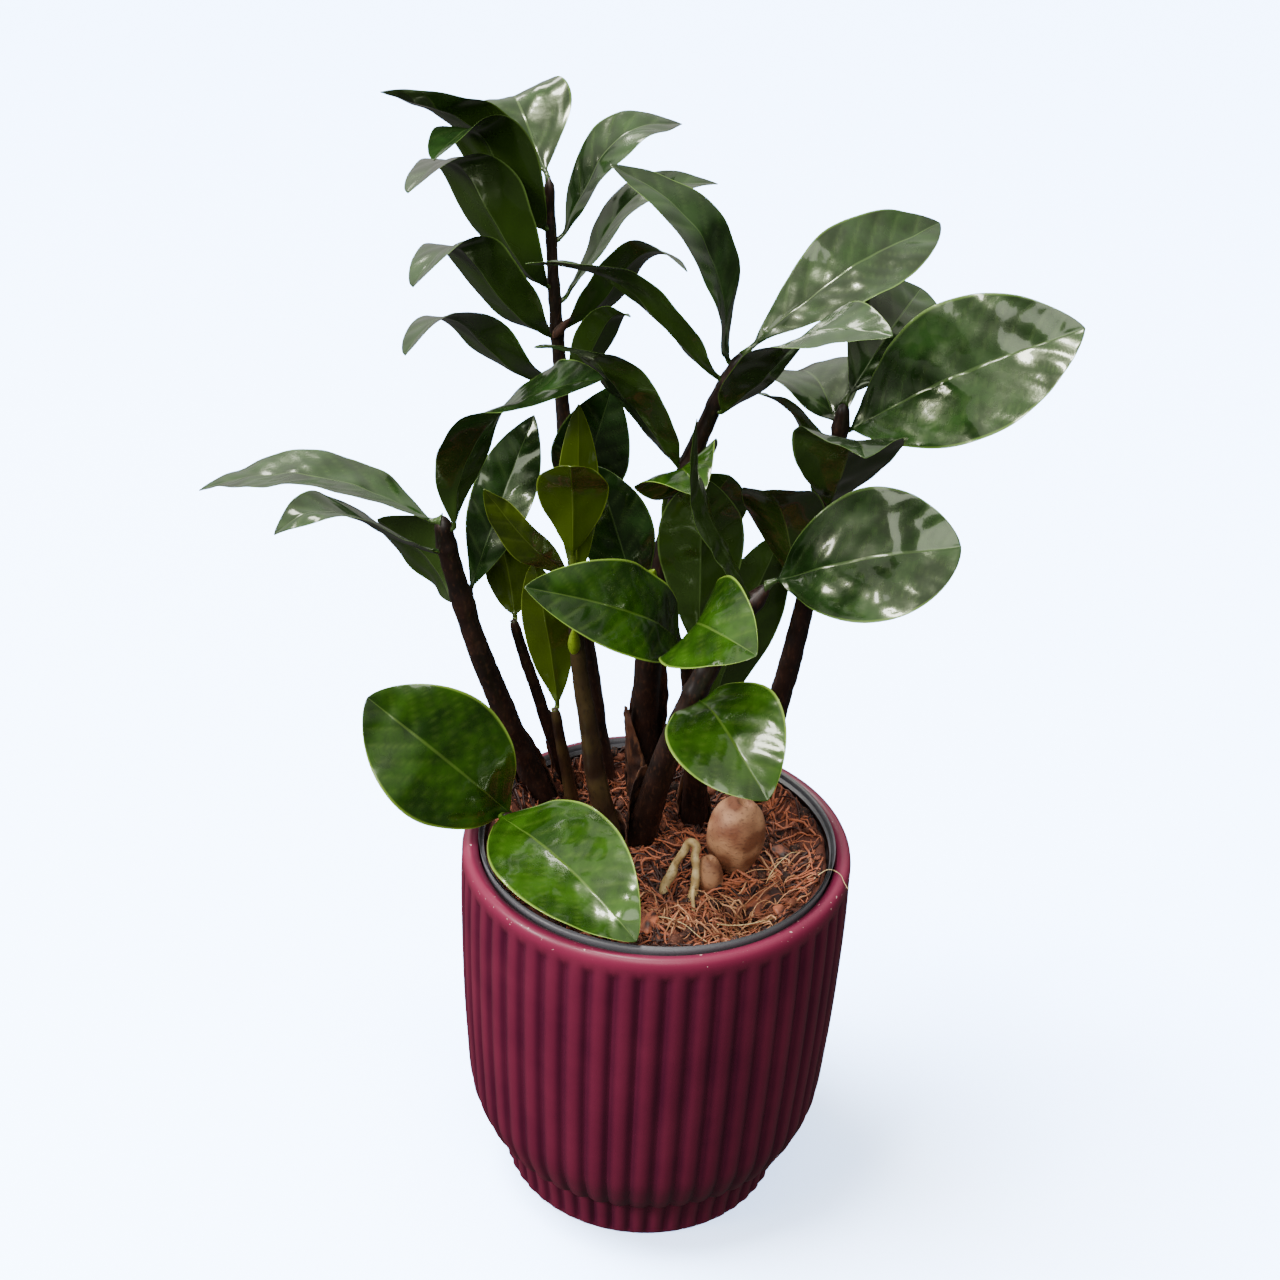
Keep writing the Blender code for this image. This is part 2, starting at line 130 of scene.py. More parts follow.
LEAVES = {
    "tall_1": Leaf("tall", 0.975, (-97, 30, 262), 26, 8, 0.5, (60, 60)),
    "tall_2": Leaf("tall", 0.99, (-62, 92, 247), 36, 8, 0.7, (-90, 45), 0.64),
    "tall_3": Leaf("tall", 0.93, (-80, 22, 244), 31, 16, 0.72, (80, 35), 0.58, 0.6),
    "tall_4": Leaf("tall", 0.845, (-88, 20, 234), 31, 18, 0.72, (80, 35), 0.58, 0.6),
    "tall_5": Leaf("tall", 0.77, (-87, 20, 204), 31, 17, 0.72, (80, 35), 0.58, 0.6),
    "tall_6": Leaf("tall", 0.69, (-90, 20, 181), 29, 15, 0.72, (80, 35), 0.58, 0.6),
    "tall_7": Leaf("tall", 0.91, (-4, 75, 246), 22, 13, 0.6, (-90, 12), 0.6),
    "tall_8": Leaf("tall", 0.82, (9, 70, 228), 19, 14, 0.6, (-90, 8), 0.6),
    "tall_9": Leaf("tall", 0.78, (0, 40, 207), 21, 12, 0.72, (90, 30)),
    "tall_10": Leaf("tall", 0.69, (-18, 42, 190), 15, 8, 0.7, (90, 40)),
    "tall_11": Leaf("tall", 0.5, (-23, 40, 166), 28, 4, 0.5, (-90, 60)),
    "mid_1": Leaf("mid", 0.97, (-25, 0, 251), 24, 15, 0.55, (-30, 65)),
    "mid_2": Leaf("mid", 0.99, (80, 40, 227), 31, 7, 0.5, (-90, 32), 0.6),
    "mid_3": Leaf("mid", 0.93, (-49, -10, 223), 26, 9, 0.6, (90, 17)),
    "mid_4": Leaf("mid", 0.87, (59, -33, 214), 32, 10, 0.6, (90, 0), twist=-50),
    "mid_5": Leaf("mid", 0.72, (-46, -10, 197), 26, 9, 0.6, (90, 18)),
    "mid_6": Leaf("mid", 0.67, (8, -10, 150), 32, 10, 0.65, (150, 35), age=Age.FRESH),
    "mid_7": Leaf("mid", 0.4, (-27, 25, 143), 26, 4, 0.5, (-90, 60), 0.6),
    "mid_8": Leaf("mid", 0.47, (18, 32, 139), 31, 4, 0.5, (90, 70), 0.6),
    "right_1": Leaf("right", 0.95, (122, 0, 208), 47, 8, 0.5, (-90, 50), 0.55),
    "right_2": Leaf("right", 0.99, (79, 56, 200), 34, 6, 0.5, (-90, 50), 0.6),
    "right_3": Leaf("right", 0.95, (38, 70, 162), 34, 8, 0.5, (-90, 20)),
    "right_4": Leaf("right", 0.8, (55, -34, 176), 37, 10, 0.65, (90, 30), 0.58),
    "right_5": Leaf("right", 0.6, (27, -8, 152), 28, 8, 0.6, (90, 30), 0.6),
    "right_6": Leaf("right", 0.8, (25, 22, 173), 19, 8, 0.6, (90, 10)),
    "arched_1": Leaf("arched", 0.99, (91, -15, 139), 45, 8, 0.5, (-90, 50), 0.58, 0.6),
    "arched_2": Leaf("arched", 0.93, (4, -32, 185), 14, 6, 0.6, (-160, 40)),
    "left_1": Leaf("left", 0.98, (-162, 25, 127), 32, 11, 0.5, (0, 0), 0.5),
    "left_2": Leaf("left", 0.86, (-127, -20, 134), 26, 10, 0.7, (0, 0), 0.55),
    "left_3": Leaf("left", 0.95, (-25, 0, 184), 36, 17, 0.45, (90, 8), 0.54, 0.8, twist=-60),
    "left_4": Leaf("left", 0.62, (-104, 40, 112), 30, 5, 0.5, (90, 60)),
    "left_5": Leaf("left", 0.66, (-50, 50, 150), 22, 5, 0.5, (-90, 60), 0.55, 0.8),
    "young_1": Leaf("front", 0.99, (-34, -12, 159), 24, 4, 0.5, (90, 75), 0.6, 0.6, age=Age.YOUNG),
    "young_2": Leaf("front", 0.9, (-33, 10, 171), 14, 3, 0.5, (90, 60), age=Age.YOUNG),
    "young_3": Leaf("front", 0.96, (-61, -15, 151), 14, 4, 0.5, (-120, 60), age=Age.YOUNG),
    "young_4": Leaf("slim_left", 0.98, (-60, 35, 107), 18, 3, 0.5, (90, 70), age=Age.YOUNG),
    "young_5": Leaf("slim_centre", 0.98, (-47, 16, 110), 18, 4, 0.5, (90, 70), age=Age.YOUNG),
    "front_1": Leaf("inner", 0.99, (-46, -38, 129), 32, 12, 0.5, (-90, 48), 0.55, age=Age.FRESH),
    "front_2": Leaf("arched", 0.72, (26, -56, 119), 36, 16, 0.5, (-160, 45), 0.6, age=Age.FRESH),
    "front_3": Leaf("arched", 0.53, (34, -50, 62), 40, 12, 0.45, (-90, 50), 0.52, age=Age.FRESH),
    "inner_1": Leaf("inner", 0.93, (8, 4, 150), 30, 4, 0.5, (90, 70), 0.6),
    "inner_2": Leaf("inner", 0.5, (38, 36, 116), 28, 3, 0.5, (90, 75), 0.55),
    "low_1": Leaf("low", 0.75, (-102, -5, 66), 48, 8, 0.5, (-90, 50), 0.55, 0.65, age=Age.FRESH),
    "low_2": Leaf("low", 0.99, (-6, -66, 15), 43, 10, 0.5, (-90, 30), age=Age.FRESH),
}


# ---------------------------------------------------------------------------------------------
# Small helpers
# ---------------------------------------------------------------------------------------------


def unit(vectors: Array) -> Array:
    """Return vectors at length one, along the last axis."""
    return vectors / np.maximum(np.linalg.norm(vectors, axis=-1, keepdims=True), 1e-9)


def ease(low: float, high: float, value: Array) -> Array:
    """Ease from 0 at low to 1 at high: 3t^2 - 2t^3 of the clipped share t."""
    share = np.clip((value - low) / (high - low), 0.0, 1.0)
    return share * share * (3.0 - 2.0 * share)


def hump(value: Array, width: float) -> Array:
    """Return a bell that is 1 where value is 0: e to the minus (value / width) squared."""
    return np.exp(-((value / width) ** 2))


def ripples(points: Array, size: float, seed: int, waves: int = 20) -> Array:
    """Return an uneven height at each point: a sum of plane waves of random direction and phase.

    Args:
        points: Positions, with x, y and z on the last axis.
        size: Typical distance from crest to crest, in the units of the points.
        seed: Seed of the random directions and phases.
        waves: How many waves are added.

    Returns:
        Heights of about -1.5 to 1.5, one for each point.
    """
    rng = np.random.default_rng(seed)
    lengths = size * rng.uniform(0.7, 1.5, waves)
    directions = unit(rng.normal(size=(waves, 3))) / lengths[:, None]
    phases = rng.uniform(0.0, math.tau, waves)
    return np.cos(points @ directions.T * math.tau + phases).sum(-1) / math.sqrt(waves)


def linear(colour: str) -> tuple[float, float, float, float]:
    """Turn an sRGB hex colour such as #8040ff into linear red, green, blue and alpha."""
    levels = [int(colour[i : i + 2], 16) / 255.0 for i in (1, 3, 5)]
    red, green, blue = (x / 12.92 if x <= 0.04045 else ((x + 0.055) / 1.055) ** 2.4 for x in levels)
    return red, green, blue, 1.0


def with_poles(values: Array) -> Array:
    """Flatten values on stacks of rings and add the mean of each first and last ring.

    Args:
        values: An array over (stack, ring, place round the ring) and any further axis.

    Returns:
        One row for each vertex, the two poles of each stack at the end.
    """
    tail = values.shape[3:]
    poles = values[:, [0, -1]].mean(axis=2)
    return np.concatenate([values.reshape(-1, *tail), poles.reshape(-1, *tail)])


def skin(shape: tuple[int, int, int]) -> list[list[int]]:
    """Return the faces that join stacks of closed rings and close both ends at a pole.

    Args:
        shape: How many stacks, rings in a stack and places round a ring.

    Returns:
        Quads along the walls and triangles at the ends, all facing outwards.
    """
    stacks, rings, places = shape
    here = np.arange(stacks * rings * places).reshape(shape)
    beside = np.roll(here, -1, axis=2)
    walls = np.stack([here[:, :-1], beside[:, :-1], beside[:, 1:], here[:, 1:]], axis=-1)
    poles = stacks * rings * places + np.arange(stacks * 2).reshape(stacks, 2, 1)
    low = np.broadcast_to(poles[:, 0], (stacks, places))
    high = np.broadcast_to(poles[:, 1], (stacks, places))
    first = np.stack([low, beside[:, 0], here[:, 0]], axis=-1)
    last = np.stack([high, here[:, -1], beside[:, -1]], axis=-1)
    ends = np.concatenate([first.reshape(-1, 3), last.reshape(-1, 3)])
    return walls.reshape(-1, 4).tolist() + ends.tolist()


def tube_rings(path: Array, radius: Array, sides: int) -> Array:
    """Carry circles along paths, square to them.

    Args:
        path: Points of each path, over (path, point, xyz).
        radius: Radius at each of those points.
        sides: Places round each circle.

    Returns:
        Rings over (path, point, place, xyz).
    """
    forward = unit(np.gradient(path, axis=1))
    aside = unit(np.cross(np.array((0.17, 1.0, 0.05)), forward))
    other = np.cross(forward, aside)
    turn = np.arange(sides) / sides * math.tau
    round_it = np.cos(turn)[:, None] * aside[:, :, None] + np.sin(turn)[:, None] * other[:, :, None]
    return path[:, :, None] + radius[:, :, None, None] * round_it


def curve_point(stem: Stem, share: Array) -> tuple[Array, Array, Array]:
    """Follow a stem's quadratic curve through its foot, middle and crown.

    Args:
        stem: The stem.
        share: Shares of the way up, 0 at the soil and 1 at the crown.

    Returns:
        Points, directions and radii.
    """
    start = np.array((*stem.foot, 0.0))
    end = np.array(stem.crown, float)
    bend = 2.0 * np.array(stem.middle, float) - (start + end) / 2.0
    t = np.atleast_1d(np.asarray(share, float))[:, None]
    point = (1 - t) ** 2 * start + 2 * t * (1 - t) * bend + t**2 * end
    heading = unit((1 - t) * (bend - start) + t * (end - bend))
    return point, heading, stem.foot_radius + (stem.crown_radius - stem.foot_radius) * t[:, 0]


def make_piece(
    name: str,
    rings: Array,
    finish: "Finish",
    replaces: tuple[str, ...] = (),
    values: dict[str, Array] | None = None,
    chart: Array | None = None,
    lift: float = SOIL_TOP,
) -> bpy.types.Object:
    """Skin rings into a smooth closed mesh that rides on the plant, and dress it.

    Args:
        name: Name of the piece.
        rings: Rings in millimetres, over (stack, ring, place, xyz).
        finish: The finish it wears.
        replaces: CAD nodes it stands for.
        values: Named numbers for the material, over (stack, ring, place).
        chart: Two pattern coordinates, over (stack, ring, place, 2).
        lift: Height in millimetres that is added to every point.

    Returns:
        The new object.
    """
    points = with_poles(rings)
    points[:, 2] += lift
    faces = skin(rings.shape[:3])
    mesh = bpy.data.meshes.new(name)
    mesh.from_pydata((points * MM).tolist(), [], faces)
    for key, value in (values or {}).items():
        attribute = mesh.attributes.new(key, "FLOAT", "POINT")
        attribute.data.foreach_set("value", with_poles(value).astype(np.float32))
    if chart is not None:
        corners = np.zeros(len(mesh.loops), np.int32)
        mesh.loops.foreach_get("vertex_index", corners)
        layer = mesh.uv_layers.new(name="Chart")
        layer.data.foreach_set("uv", with_poles(chart)[corners].astype(np.float32).ravel())
    mesh.shade_smooth()
    mesh.materials.append(finish.material())
    piece = bpy.data.objects.new(name, mesh)
    bpy.context.scene.collection.objects.link(piece)
    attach(piece, "root")
    if replaces:
        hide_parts(*replaces)
    LOG.info("%s: %d faces", name, len(faces))
    return piece


def add_node(
    tree: bpy.types.NodeTree, kind: str, inputs: dict[Any, Any] | None = None, **settings: Any
) -> bpy.types.Node:
    """Add a shader node with its settings, values and links.

    Args:
        tree: The node tree.
        kind: The node's type name.
        inputs: Input name or number to a value, or to the output it is linked from.
        **settings: Properties of the node.

    Returns:
        The new node.
    """
    node = tree.nodes.new(kind)
    for key, value in settings.items():
        setattr(node, key, value)
    for key, value in (inputs or {}).items():
        if isinstance(value, bpy.types.NodeSocket):
            tree.links.new(value, node.inputs[key])
        else:
            node.inputs[key].default_value = value
    return node


# ---------------------------------------------------------------------------------------------
# Finishes
# ---------------------------------------------------------------------------------------------


@dataclass(frozen=True)
class Finish:
    """A surface finish; the subclasses say what it is made of and add its pattern."""

    name: str

    def material(self) -> bpy.types.Material:
        """Return the finish's material, which is made the first time it is asked for.

        Returns:
            The material, shared by every piece that wears this finish.
        """
        made = bpy.data.materials.get(self.name)
        if made is None:
            made = bpy.data.materials.new(self.name)
            made.use_nodes = True
            self.dress(made.node_tree, made.node_tree.nodes["Principled BSDF"])
        return made

    def dress(self, tree: bpy.types.NodeTree, shader: bpy.types.Node) -> None:
        """Set up the shader; each subclass does its own.

        Args:
            tree: The material's node tree.
            shader: Its Principled BSDF.
        """
        raise NotImplementedError


@dataclass(frozen=True)
class WaxyLeaf(Finish):
    """Living ZZ blade under its own thick wax: deep green, very glossy, edges painted paler as rim light.

    The chart runs 0 to 1 along the blade and across it, so the midrib lies at 0.5. The wax gives
    a clear coat over a slightly rougher skin, which lets the sky show as a soft sheen.
    """

    upper: str
    upper_light: str
    under: str
    midrib: str
    # edge_highlight is the paler green of a painted rim-light highlight along the blade's edge.
    edge_highlight: str
    blotch: float = 14.0

    def dress(self, tree: bpy.types.NodeTree, shader: bpy.types.Node) -> None:
        """Mix the blade's greens by side and midrib, paint a rim-light highlight on the edge, and wax it.

        Args:
            tree: The material's node tree.
            shader: Its Principled BSDF.
        """
        place = add_node(tree, "ShaderNodeTexCoord").outputs["Object"]
        chart = add_node(tree, "ShaderNodeUVMap", uv_map="Chart").outputs["UV"]
        across = add_node(tree, "ShaderNodeSeparateXYZ", {0: chart}).outputs["Y"]
        centred = add_node(tree, "ShaderNodeMath", {0: across, 1: 0.5}, operation="SUBTRACT")
        spread = add_node(tree, "ShaderNodeMath", {0: centred.outputs[0]}, operation="ABSOLUTE").outputs[0]
        underside = add_node(tree, "ShaderNodeAttribute", attribute_name="underside").outputs["Fac"]
        veins = add_node(tree, "ShaderNodeAttribute", attribute_name="veins").outputs["Fac"]
        tone = add_node(tree, "ShaderNodeAttribute", attribute_name="tone").outputs["Fac"]
        blotches = add_node(
            tree, "ShaderNodeTexNoise",
            {"Vector": place, "Scale": 1.0 / (self.blotch * MM), "Detail": 4.0, "Roughness": 0.6},
        ).outputs["Fac"]
        patch = add_node(
            tree, "ShaderNodeMapRange", {"Value": blotches, "From Min": 0.38, "From Max": 0.66}
        ).outputs[0]
        toned = add_node(tree, "ShaderNodeMath", {0: patch, 1: tone}, operation="ADD", use_clamp=True)
        top = add_node(
            tree, "ShaderNodeMix",
            {0: toned.outputs[0], 6: linear(self.upper), 7: linear(self.upper_light)}, data_type="RGBA",
        ).outputs[2]
        veined = add_node(
            tree, "ShaderNodeMath", {0: veins, 1: 0.1}, operation="MULTIPLY", use_clamp=True
        ).outputs[0]
        lined = add_node(
            tree, "ShaderNodeMix", {0: veined, 6: top, 7: linear(self.midrib)}, data_type="RGBA"
        ).outputs[2]
        sided = add_node(
            tree, "ShaderNodeMix", {0: underside, 6: lined, 7: linear(self.under)}, data_type="RGBA"
        ).outputs[2]
        on_rib = add_node(
            tree, "ShaderNodeMapRange",
            {"Value": spread, "From Min": 0.004, "From Max": 0.017, "To Min": 0.24, "To Max": 0.0},
            interpolation_type="SMOOTHSTEP",
        ).outputs[0]
        ribbed = add_node(
            tree, "ShaderNodeMix", {0: on_rib, 6: sided, 7: linear(self.midrib)}, data_type="RGBA"
        ).outputs[2]
        # Painted highlight: the blade's edge is mixed towards a paler green that stands for rim light.
        edge_highlight_share = add_node(
            tree, "ShaderNodeMapRange",
            {"Value": spread, "From Min": 0.47, "From Max": 0.497, "To Min": 0.0, "To Max": 0.8},
            interpolation_type="SMOOTHSTEP",
        ).outputs[0]
        edge_highlighted = add_node(
            tree, "ShaderNodeMix", {0: edge_highlight_share, 6: ribbed, 7: linear(self.edge_highlight)}, data_type="RGBA"
        ).outputs[2]
        smears = add_node(
            tree, "ShaderNodeTexNoise", {"Vector": place, "Scale": 1.0 / (9 * MM), "Detail": 3.0}
        ).outputs["Fac"]
        rough = add_node(
            tree, "ShaderNodeMapRange",
            {"Value": smears, "From Min": 0.35, "From Max": 0.7, "To Min": 0.16, "To Max": 0.3},
        ).outputs[0]
        cells = add_node(
            tree, "ShaderNodeTexNoise", {"Vector": place, "Scale": 1.0 / (1.1 * MM), "Detail": 2.0}
        ).outputs["Fac"]
        grain = add_node(
            tree, "ShaderNodeBump", {"Height": cells, "Strength": 0.22, "Distance": 0.12 * MM}
        ).outputs[0]
        tree.links.new(edge_highlighted, shader.inputs["Base Color"])
        tree.links.new(rough, shader.inputs["Roughness"])
        tree.links.new(grain, shader.inputs["Normal"])
        shader.inputs["IOR"].default_value = 1.5
        shader.inputs["Specular IOR Level"].default_value = 0.62
        shader.inputs["Specular Tint"].default_value = linear("#dcebc0")
        shader.inputs["Coat Weight"].default_value = 0.5
        shader.inputs["Coat Roughness"].default_value = 0.06


@dataclass(frozen=True)
class SatinGlaze(Finish):
    """Coloured satin glaze fired on earthenware, dipped: it thins and lightens on raised edges, and the lip
    has a painted highlight.
    """

    deep: str = "#480b2a"
    crest: str = "#7c2442"
    # lip: the glaze thinned on the lip, made lighter still as a painted highlight from above.
    lip: str = "#8a2348"
    chip: str = "#d8b3ae"

    def dress(self, tree: bpy.types.NodeTree, shader: bpy.types.Node) -> None:
        """Lighten the glaze on crests and lip, the lip also by a painted highlight, cloud it and leave a few
        pale nicks at the rim.

        Args:
            tree: The material's node tree.
            shader: Its Principled BSDF.
        """
        place = add_node(tree, "ShaderNodeTexCoord").outputs["Object"]
        crest = add_node(tree, "ShaderNodeAttribute", attribute_name="crest").outputs["Fac"]
        rim = add_node(tree, "ShaderNodeAttribute", attribute_name="rim").outputs["Fac"]
        cloud = add_node(
            tree, "ShaderNodeTexNoise", {"Vector": place, "Scale": 1.0 / (22 * MM), "Detail": 4.0}
        ).outputs["Fac"]
        drift = add_node(
            tree, "ShaderNodeMapRange", {"Value": cloud, "From Min": 0.3, "From Max": 0.7, "To Max": 0.3}
        ).outputs[0]
        thin = add_node(tree, "ShaderNodeMath", {0: crest, 1: drift}, operation="ADD", use_clamp=True)
        glaze = add_node(
            tree, "ShaderNodeMix",
            {0: thin.outputs[0], 6: linear(self.deep), 7: linear(self.crest)}, data_type="RGBA",
        ).outputs[2]
        # Thinned glaze and painted highlight: the lip band is mixed 0.55 of the way to the lip colour.
        lip_thinning_and_highlight = add_node(tree, "ShaderNodeMath", {0: rim, 1: 0.55}, operation="MULTIPLY").outputs[0]
        glaze = add_node(
            tree, "ShaderNodeMix", {0: lip_thinning_and_highlight, 6: glaze, 7: linear(self.lip)}, data_type="RGBA"
        ).outputs[2]
        specks = add_node(
            tree, "ShaderNodeTexNoise", {"Vector": place, "Scale": 1.0 / (1.6 * MM), "Detail": 1.0}
        ).outputs["Fac"]
        nick = add_node(
            tree, "ShaderNodeMapRange", {"Value": specks, "From Min": 0.735, "From Max": 0.75}
        ).outputs[0]
        chipped = add_node(tree, "ShaderNodeMath", {0: nick, 1: rim}, operation="MULTIPLY").outputs[0]
        colour = add_node(
            tree, "ShaderNodeMix", {0: chipped, 6: glaze, 7: linear(self.chip)}, data_type="RGBA"
        ).outputs[2]
        orange_peel = add_node(
            tree, "ShaderNodeTexNoise", {"Vector": place, "Scale": 1.0 / (2.4 * MM), "Detail": 2.0}
        ).outputs["Fac"]
        relief = add_node(
            tree, "ShaderNodeBump", {"Height": orange_peel, "Strength": 0.25, "Distance": 0.12 * MM}
        ).outputs[0]
        rough = add_node(
            tree, "ShaderNodeMapRange", {"Value": cloud, "To Min": 0.34, "To Max": 0.5}
        ).outputs[0]
        tree.links.new(colour, shader.inputs["Base Color"])
        tree.links.new(relief, shader.inputs["Normal"])
        tree.links.new(rough, shader.inputs["Roughness"])
        shader.inputs["IOR"].default_value = 1.52
        shader.inputs["Specular IOR Level"].default_value = 0.4
        shader.inputs["Coat Weight"].default_value = 0.14
        shader.inputs["Coat Roughness"].default_value = 0.24


@dataclass(frozen=True)
class Speckled(Finish):
    """A natural skin or fibre in three colours: broad clouds, fine freckles and a tone each piece sets.

    The tone varies on most pieces. It is a painted highlight on the liner's rolled edge and partly
    painted shade in the coir bed's hollows. grain is the size of the freckles in millimetres.
    stretch squeezes the freckles upright, as on stems, whose mottling runs across them.
    """

    base: str
    cloud: str
    freckle: str
    grain: float = 1.2
    stretch: float = 1.0
    roughness: float = 0.6
    relief: float = 0.3
    amount: float = 0.8

    def dress(self, tree: bpy.types.NodeTree, shader: bpy.types.Node) -> None:
        """Cloud and freckle the base colour and roughen the surface with the same grain.

        Args:
            tree: The material's node tree.
            shader: Its Principled BSDF.
        """
        place = add_node(tree, "ShaderNodeTexCoord").outputs["Object"]
        tone = add_node(tree, "ShaderNodeAttribute", attribute_name="tone").outputs["Fac"]
        squeezed = add_node(
            tree, "ShaderNodeMapping", {"Vector": place, "Scale": (1.0, 1.0, self.stretch)}
        ).outputs[0]
        clouds = add_node(
            tree, "ShaderNodeTexNoise", {"Vector": place, "Scale": 0.12 / (self.grain * MM), "Detail": 3.0}
        ).outputs["Fac"]
        mixed = add_node(tree, "ShaderNodeMath", {0: clouds, 1: tone}, operation="ADD", use_clamp=True)
        share = add_node(
            tree, "ShaderNodeMapRange", {"Value": mixed.outputs[0], "From Min": 0.35, "From Max": 0.75}
        ).outputs[0]
        body = add_node(
            tree, "ShaderNodeMix",
            {0: share, 6: linear(self.base), 7: linear(self.cloud)}, data_type="RGBA",
        ).outputs[2]
        grains = add_node(
            tree, "ShaderNodeTexNoise", {"Vector": squeezed, "Scale": 1.0 / (self.grain * MM), "Detail": 4.0}
        ).outputs["Fac"]
        spots = add_node(
            tree, "ShaderNodeMapRange",
            {"Value": grains, "From Min": 0.54, "From Max": 0.68, "To Max": self.amount},
        ).outputs[0]
        colour = add_node(
            tree, "ShaderNodeMix", {0: spots, 6: body, 7: linear(self.freckle)}, data_type="RGBA"
        ).outputs[2]
        relief = add_node(
            tree, "ShaderNodeBump",
            {"Height": grains, "Strength": self.relief, "Distance": 0.3 * self.grain * MM},
        ).outputs[0]
        tree.links.new(colour, shader.inputs["Base Color"])
        tree.links.new(relief, shader.inputs["Normal"])
        shader.inputs["Roughness"].default_value = self.roughness


@dataclass(frozen=True)
class MattePaint(Finish):
    """Flat emulsion rolled on a studio floor: even and without gloss."""

    colour: str = "#f4f8fd"

    def dress(self, tree: bpy.types.NodeTree, shader: bpy.types.Node) -> None:
        """Set one plain colour."""
        shader.inputs["Base Color"].default_value = linear(self.colour)
        shader.inputs["Roughness"].default_value = 0.9
        shader.inputs["Specular IOR Level"].default_value = 0.1


WAXY = {
    Age.MATURE: WaxyLeaf("waxy_blade_mature", "#11230b", "#244018", "#2b4014", "#6f8a4e", "#66853c"),
    Age.FRESH: WaxyLeaf("waxy_blade_fresh", "#142e06", "#2f540b", "#344e0c", "#7f9c46", "#94b848"),
    Age.YOUNG: WaxyLeaf("waxy_blade_young", "#273605", "#3f500b", "#394a09", "#82943e", "#7f9434"),
}
SKINS = {
    Bark.DARK: Speckled("stem_skin_dark", "#150b08", "#2a1711", "#4a3022", 1.1, 0.5, 0.42, 0.2, 0.5),
    Bark.OLIVE: Speckled("stem_skin_olive", "#26170c", "#41331a", "#1a0f08", 1.3, 0.5, 0.42, 0.2, 0.6),
}
GLAZE = SatinGlaze("satin_maroon_glaze")
# The liner's pale grey cloud colour also serves as the painted highlight on its rolled edge.
MOULDED = Speckled("moulded_polypropylene", "#0d0d0e", "#5a5a60", "#1d1d20", 0.7, 1.0, 0.4, 0.15, 0.3)
# The bed's near-black brown is damp coir's own dark colour plus painted shade in the gaps between fibres.
COIR_BED = Speckled("damp_coir_bed_and_gap_shade", "#120604", "#54281a", "#7a4632", 1.6, 1.0, 0.8, 1.0, 0.7)
COIR_FIBRE = Speckled("red_coir_fibre", "#30100a", "#b86a4a", "#1a0805", 1.4, 1.0, 0.5, 0.4, 0.5)
STRAW = Speckled("straw_coir_fibre", "#8a4e34", "#d8a074", "#4e2618", 1.6, 1.0, 0.55, 0.3, 0.5)
PITH = Speckled("coir_pith_crumb", "#220d07", "#7a4430", "#9a6248", 0.9, 1.0, 0.8, 0.8, 0.6)
TUBER_SKIN = Speckled("tuber_skin", "#825036", "#bd8c68", "#553322", 1.5, 2.0, 0.62, 0.6, 0.5)
ROOT_SKIN = Speckled("pale_root_skin", "#a98d5c", "#d6bf8c", "#6b4a2c", 1.2, 1.0, 0.5, 0.4, 0.5)
BRACT = Speckled("papery_bract", "#2b1710", "#54311f", "#7c5236", 1.8, 0.3, 0.65, 0.6, 0.6)
BUD = Speckled("waxy_bud", "#5c7a14", "#86a021", "#3c5410", 1.4, 1.0, 0.3, 0.2, 0.4)


# ---------------------------------------------------------------------------------------------
# Pot, liner and soil
# ---------------------------------------------------------------------------------------------


def turned_profile(corners: list[tuple[float, float]], count: int) -> Array:
    """Return points of a smooth profile through corners, evenly spaced along it.

    Each stretch is a cubic whose slope at a corner is the mean of its neighbours' directions
    (Catmull-Rom), read finely and then again at equal steps of length.

    Args:
        corners: Radius and height pairs.
        count: How many points to return.

    Returns:
        Radius and height pairs, over (count, 2).
    """
    knots = np.array([corners[0], *corners, corners[-1]], float)
    t = np.linspace(0.0, 1.0, 24, endpoint=False)[:, None]
    a, b, c, d = (knots[i : len(knots) - 3 + i, None] for i in range(4))
    cubic = 0.5 * (2 * b + (c - a) * t + (2 * a - 5 * b + 4 * c - d) * t**2 + (3 * b - a - 3 * c + d) * t**3)
    fine = np.concatenate([cubic.reshape(-1, 2), knots[-1:]])
    run = np.concatenate([[0.0], np.cumsum(np.linalg.norm(np.diff(fine, axis=0), axis=1))])
    even = np.linspace(0.0, run[-1], count)
    return np.stack([np.interp(even, run, fine[:, 0]), np.interp(even, run, fine[:, 1])], axis=-1)


def turn_profile(profile: Array, places: int) -> Array:
    """Turn radius and height pairs round the Z axis into one stack of rings."""
    angle = np.arange(places) / places * math.tau
    flat = profile[:, :1, None] * np.stack([np.cos(angle), np.sin(angle)], axis=-1)[None]
    height = np.broadcast_to(profile[:, 1, None, None], (*flat.shape[:2], 1))
    return np.concatenate([flat, height], axis=-1)[None]


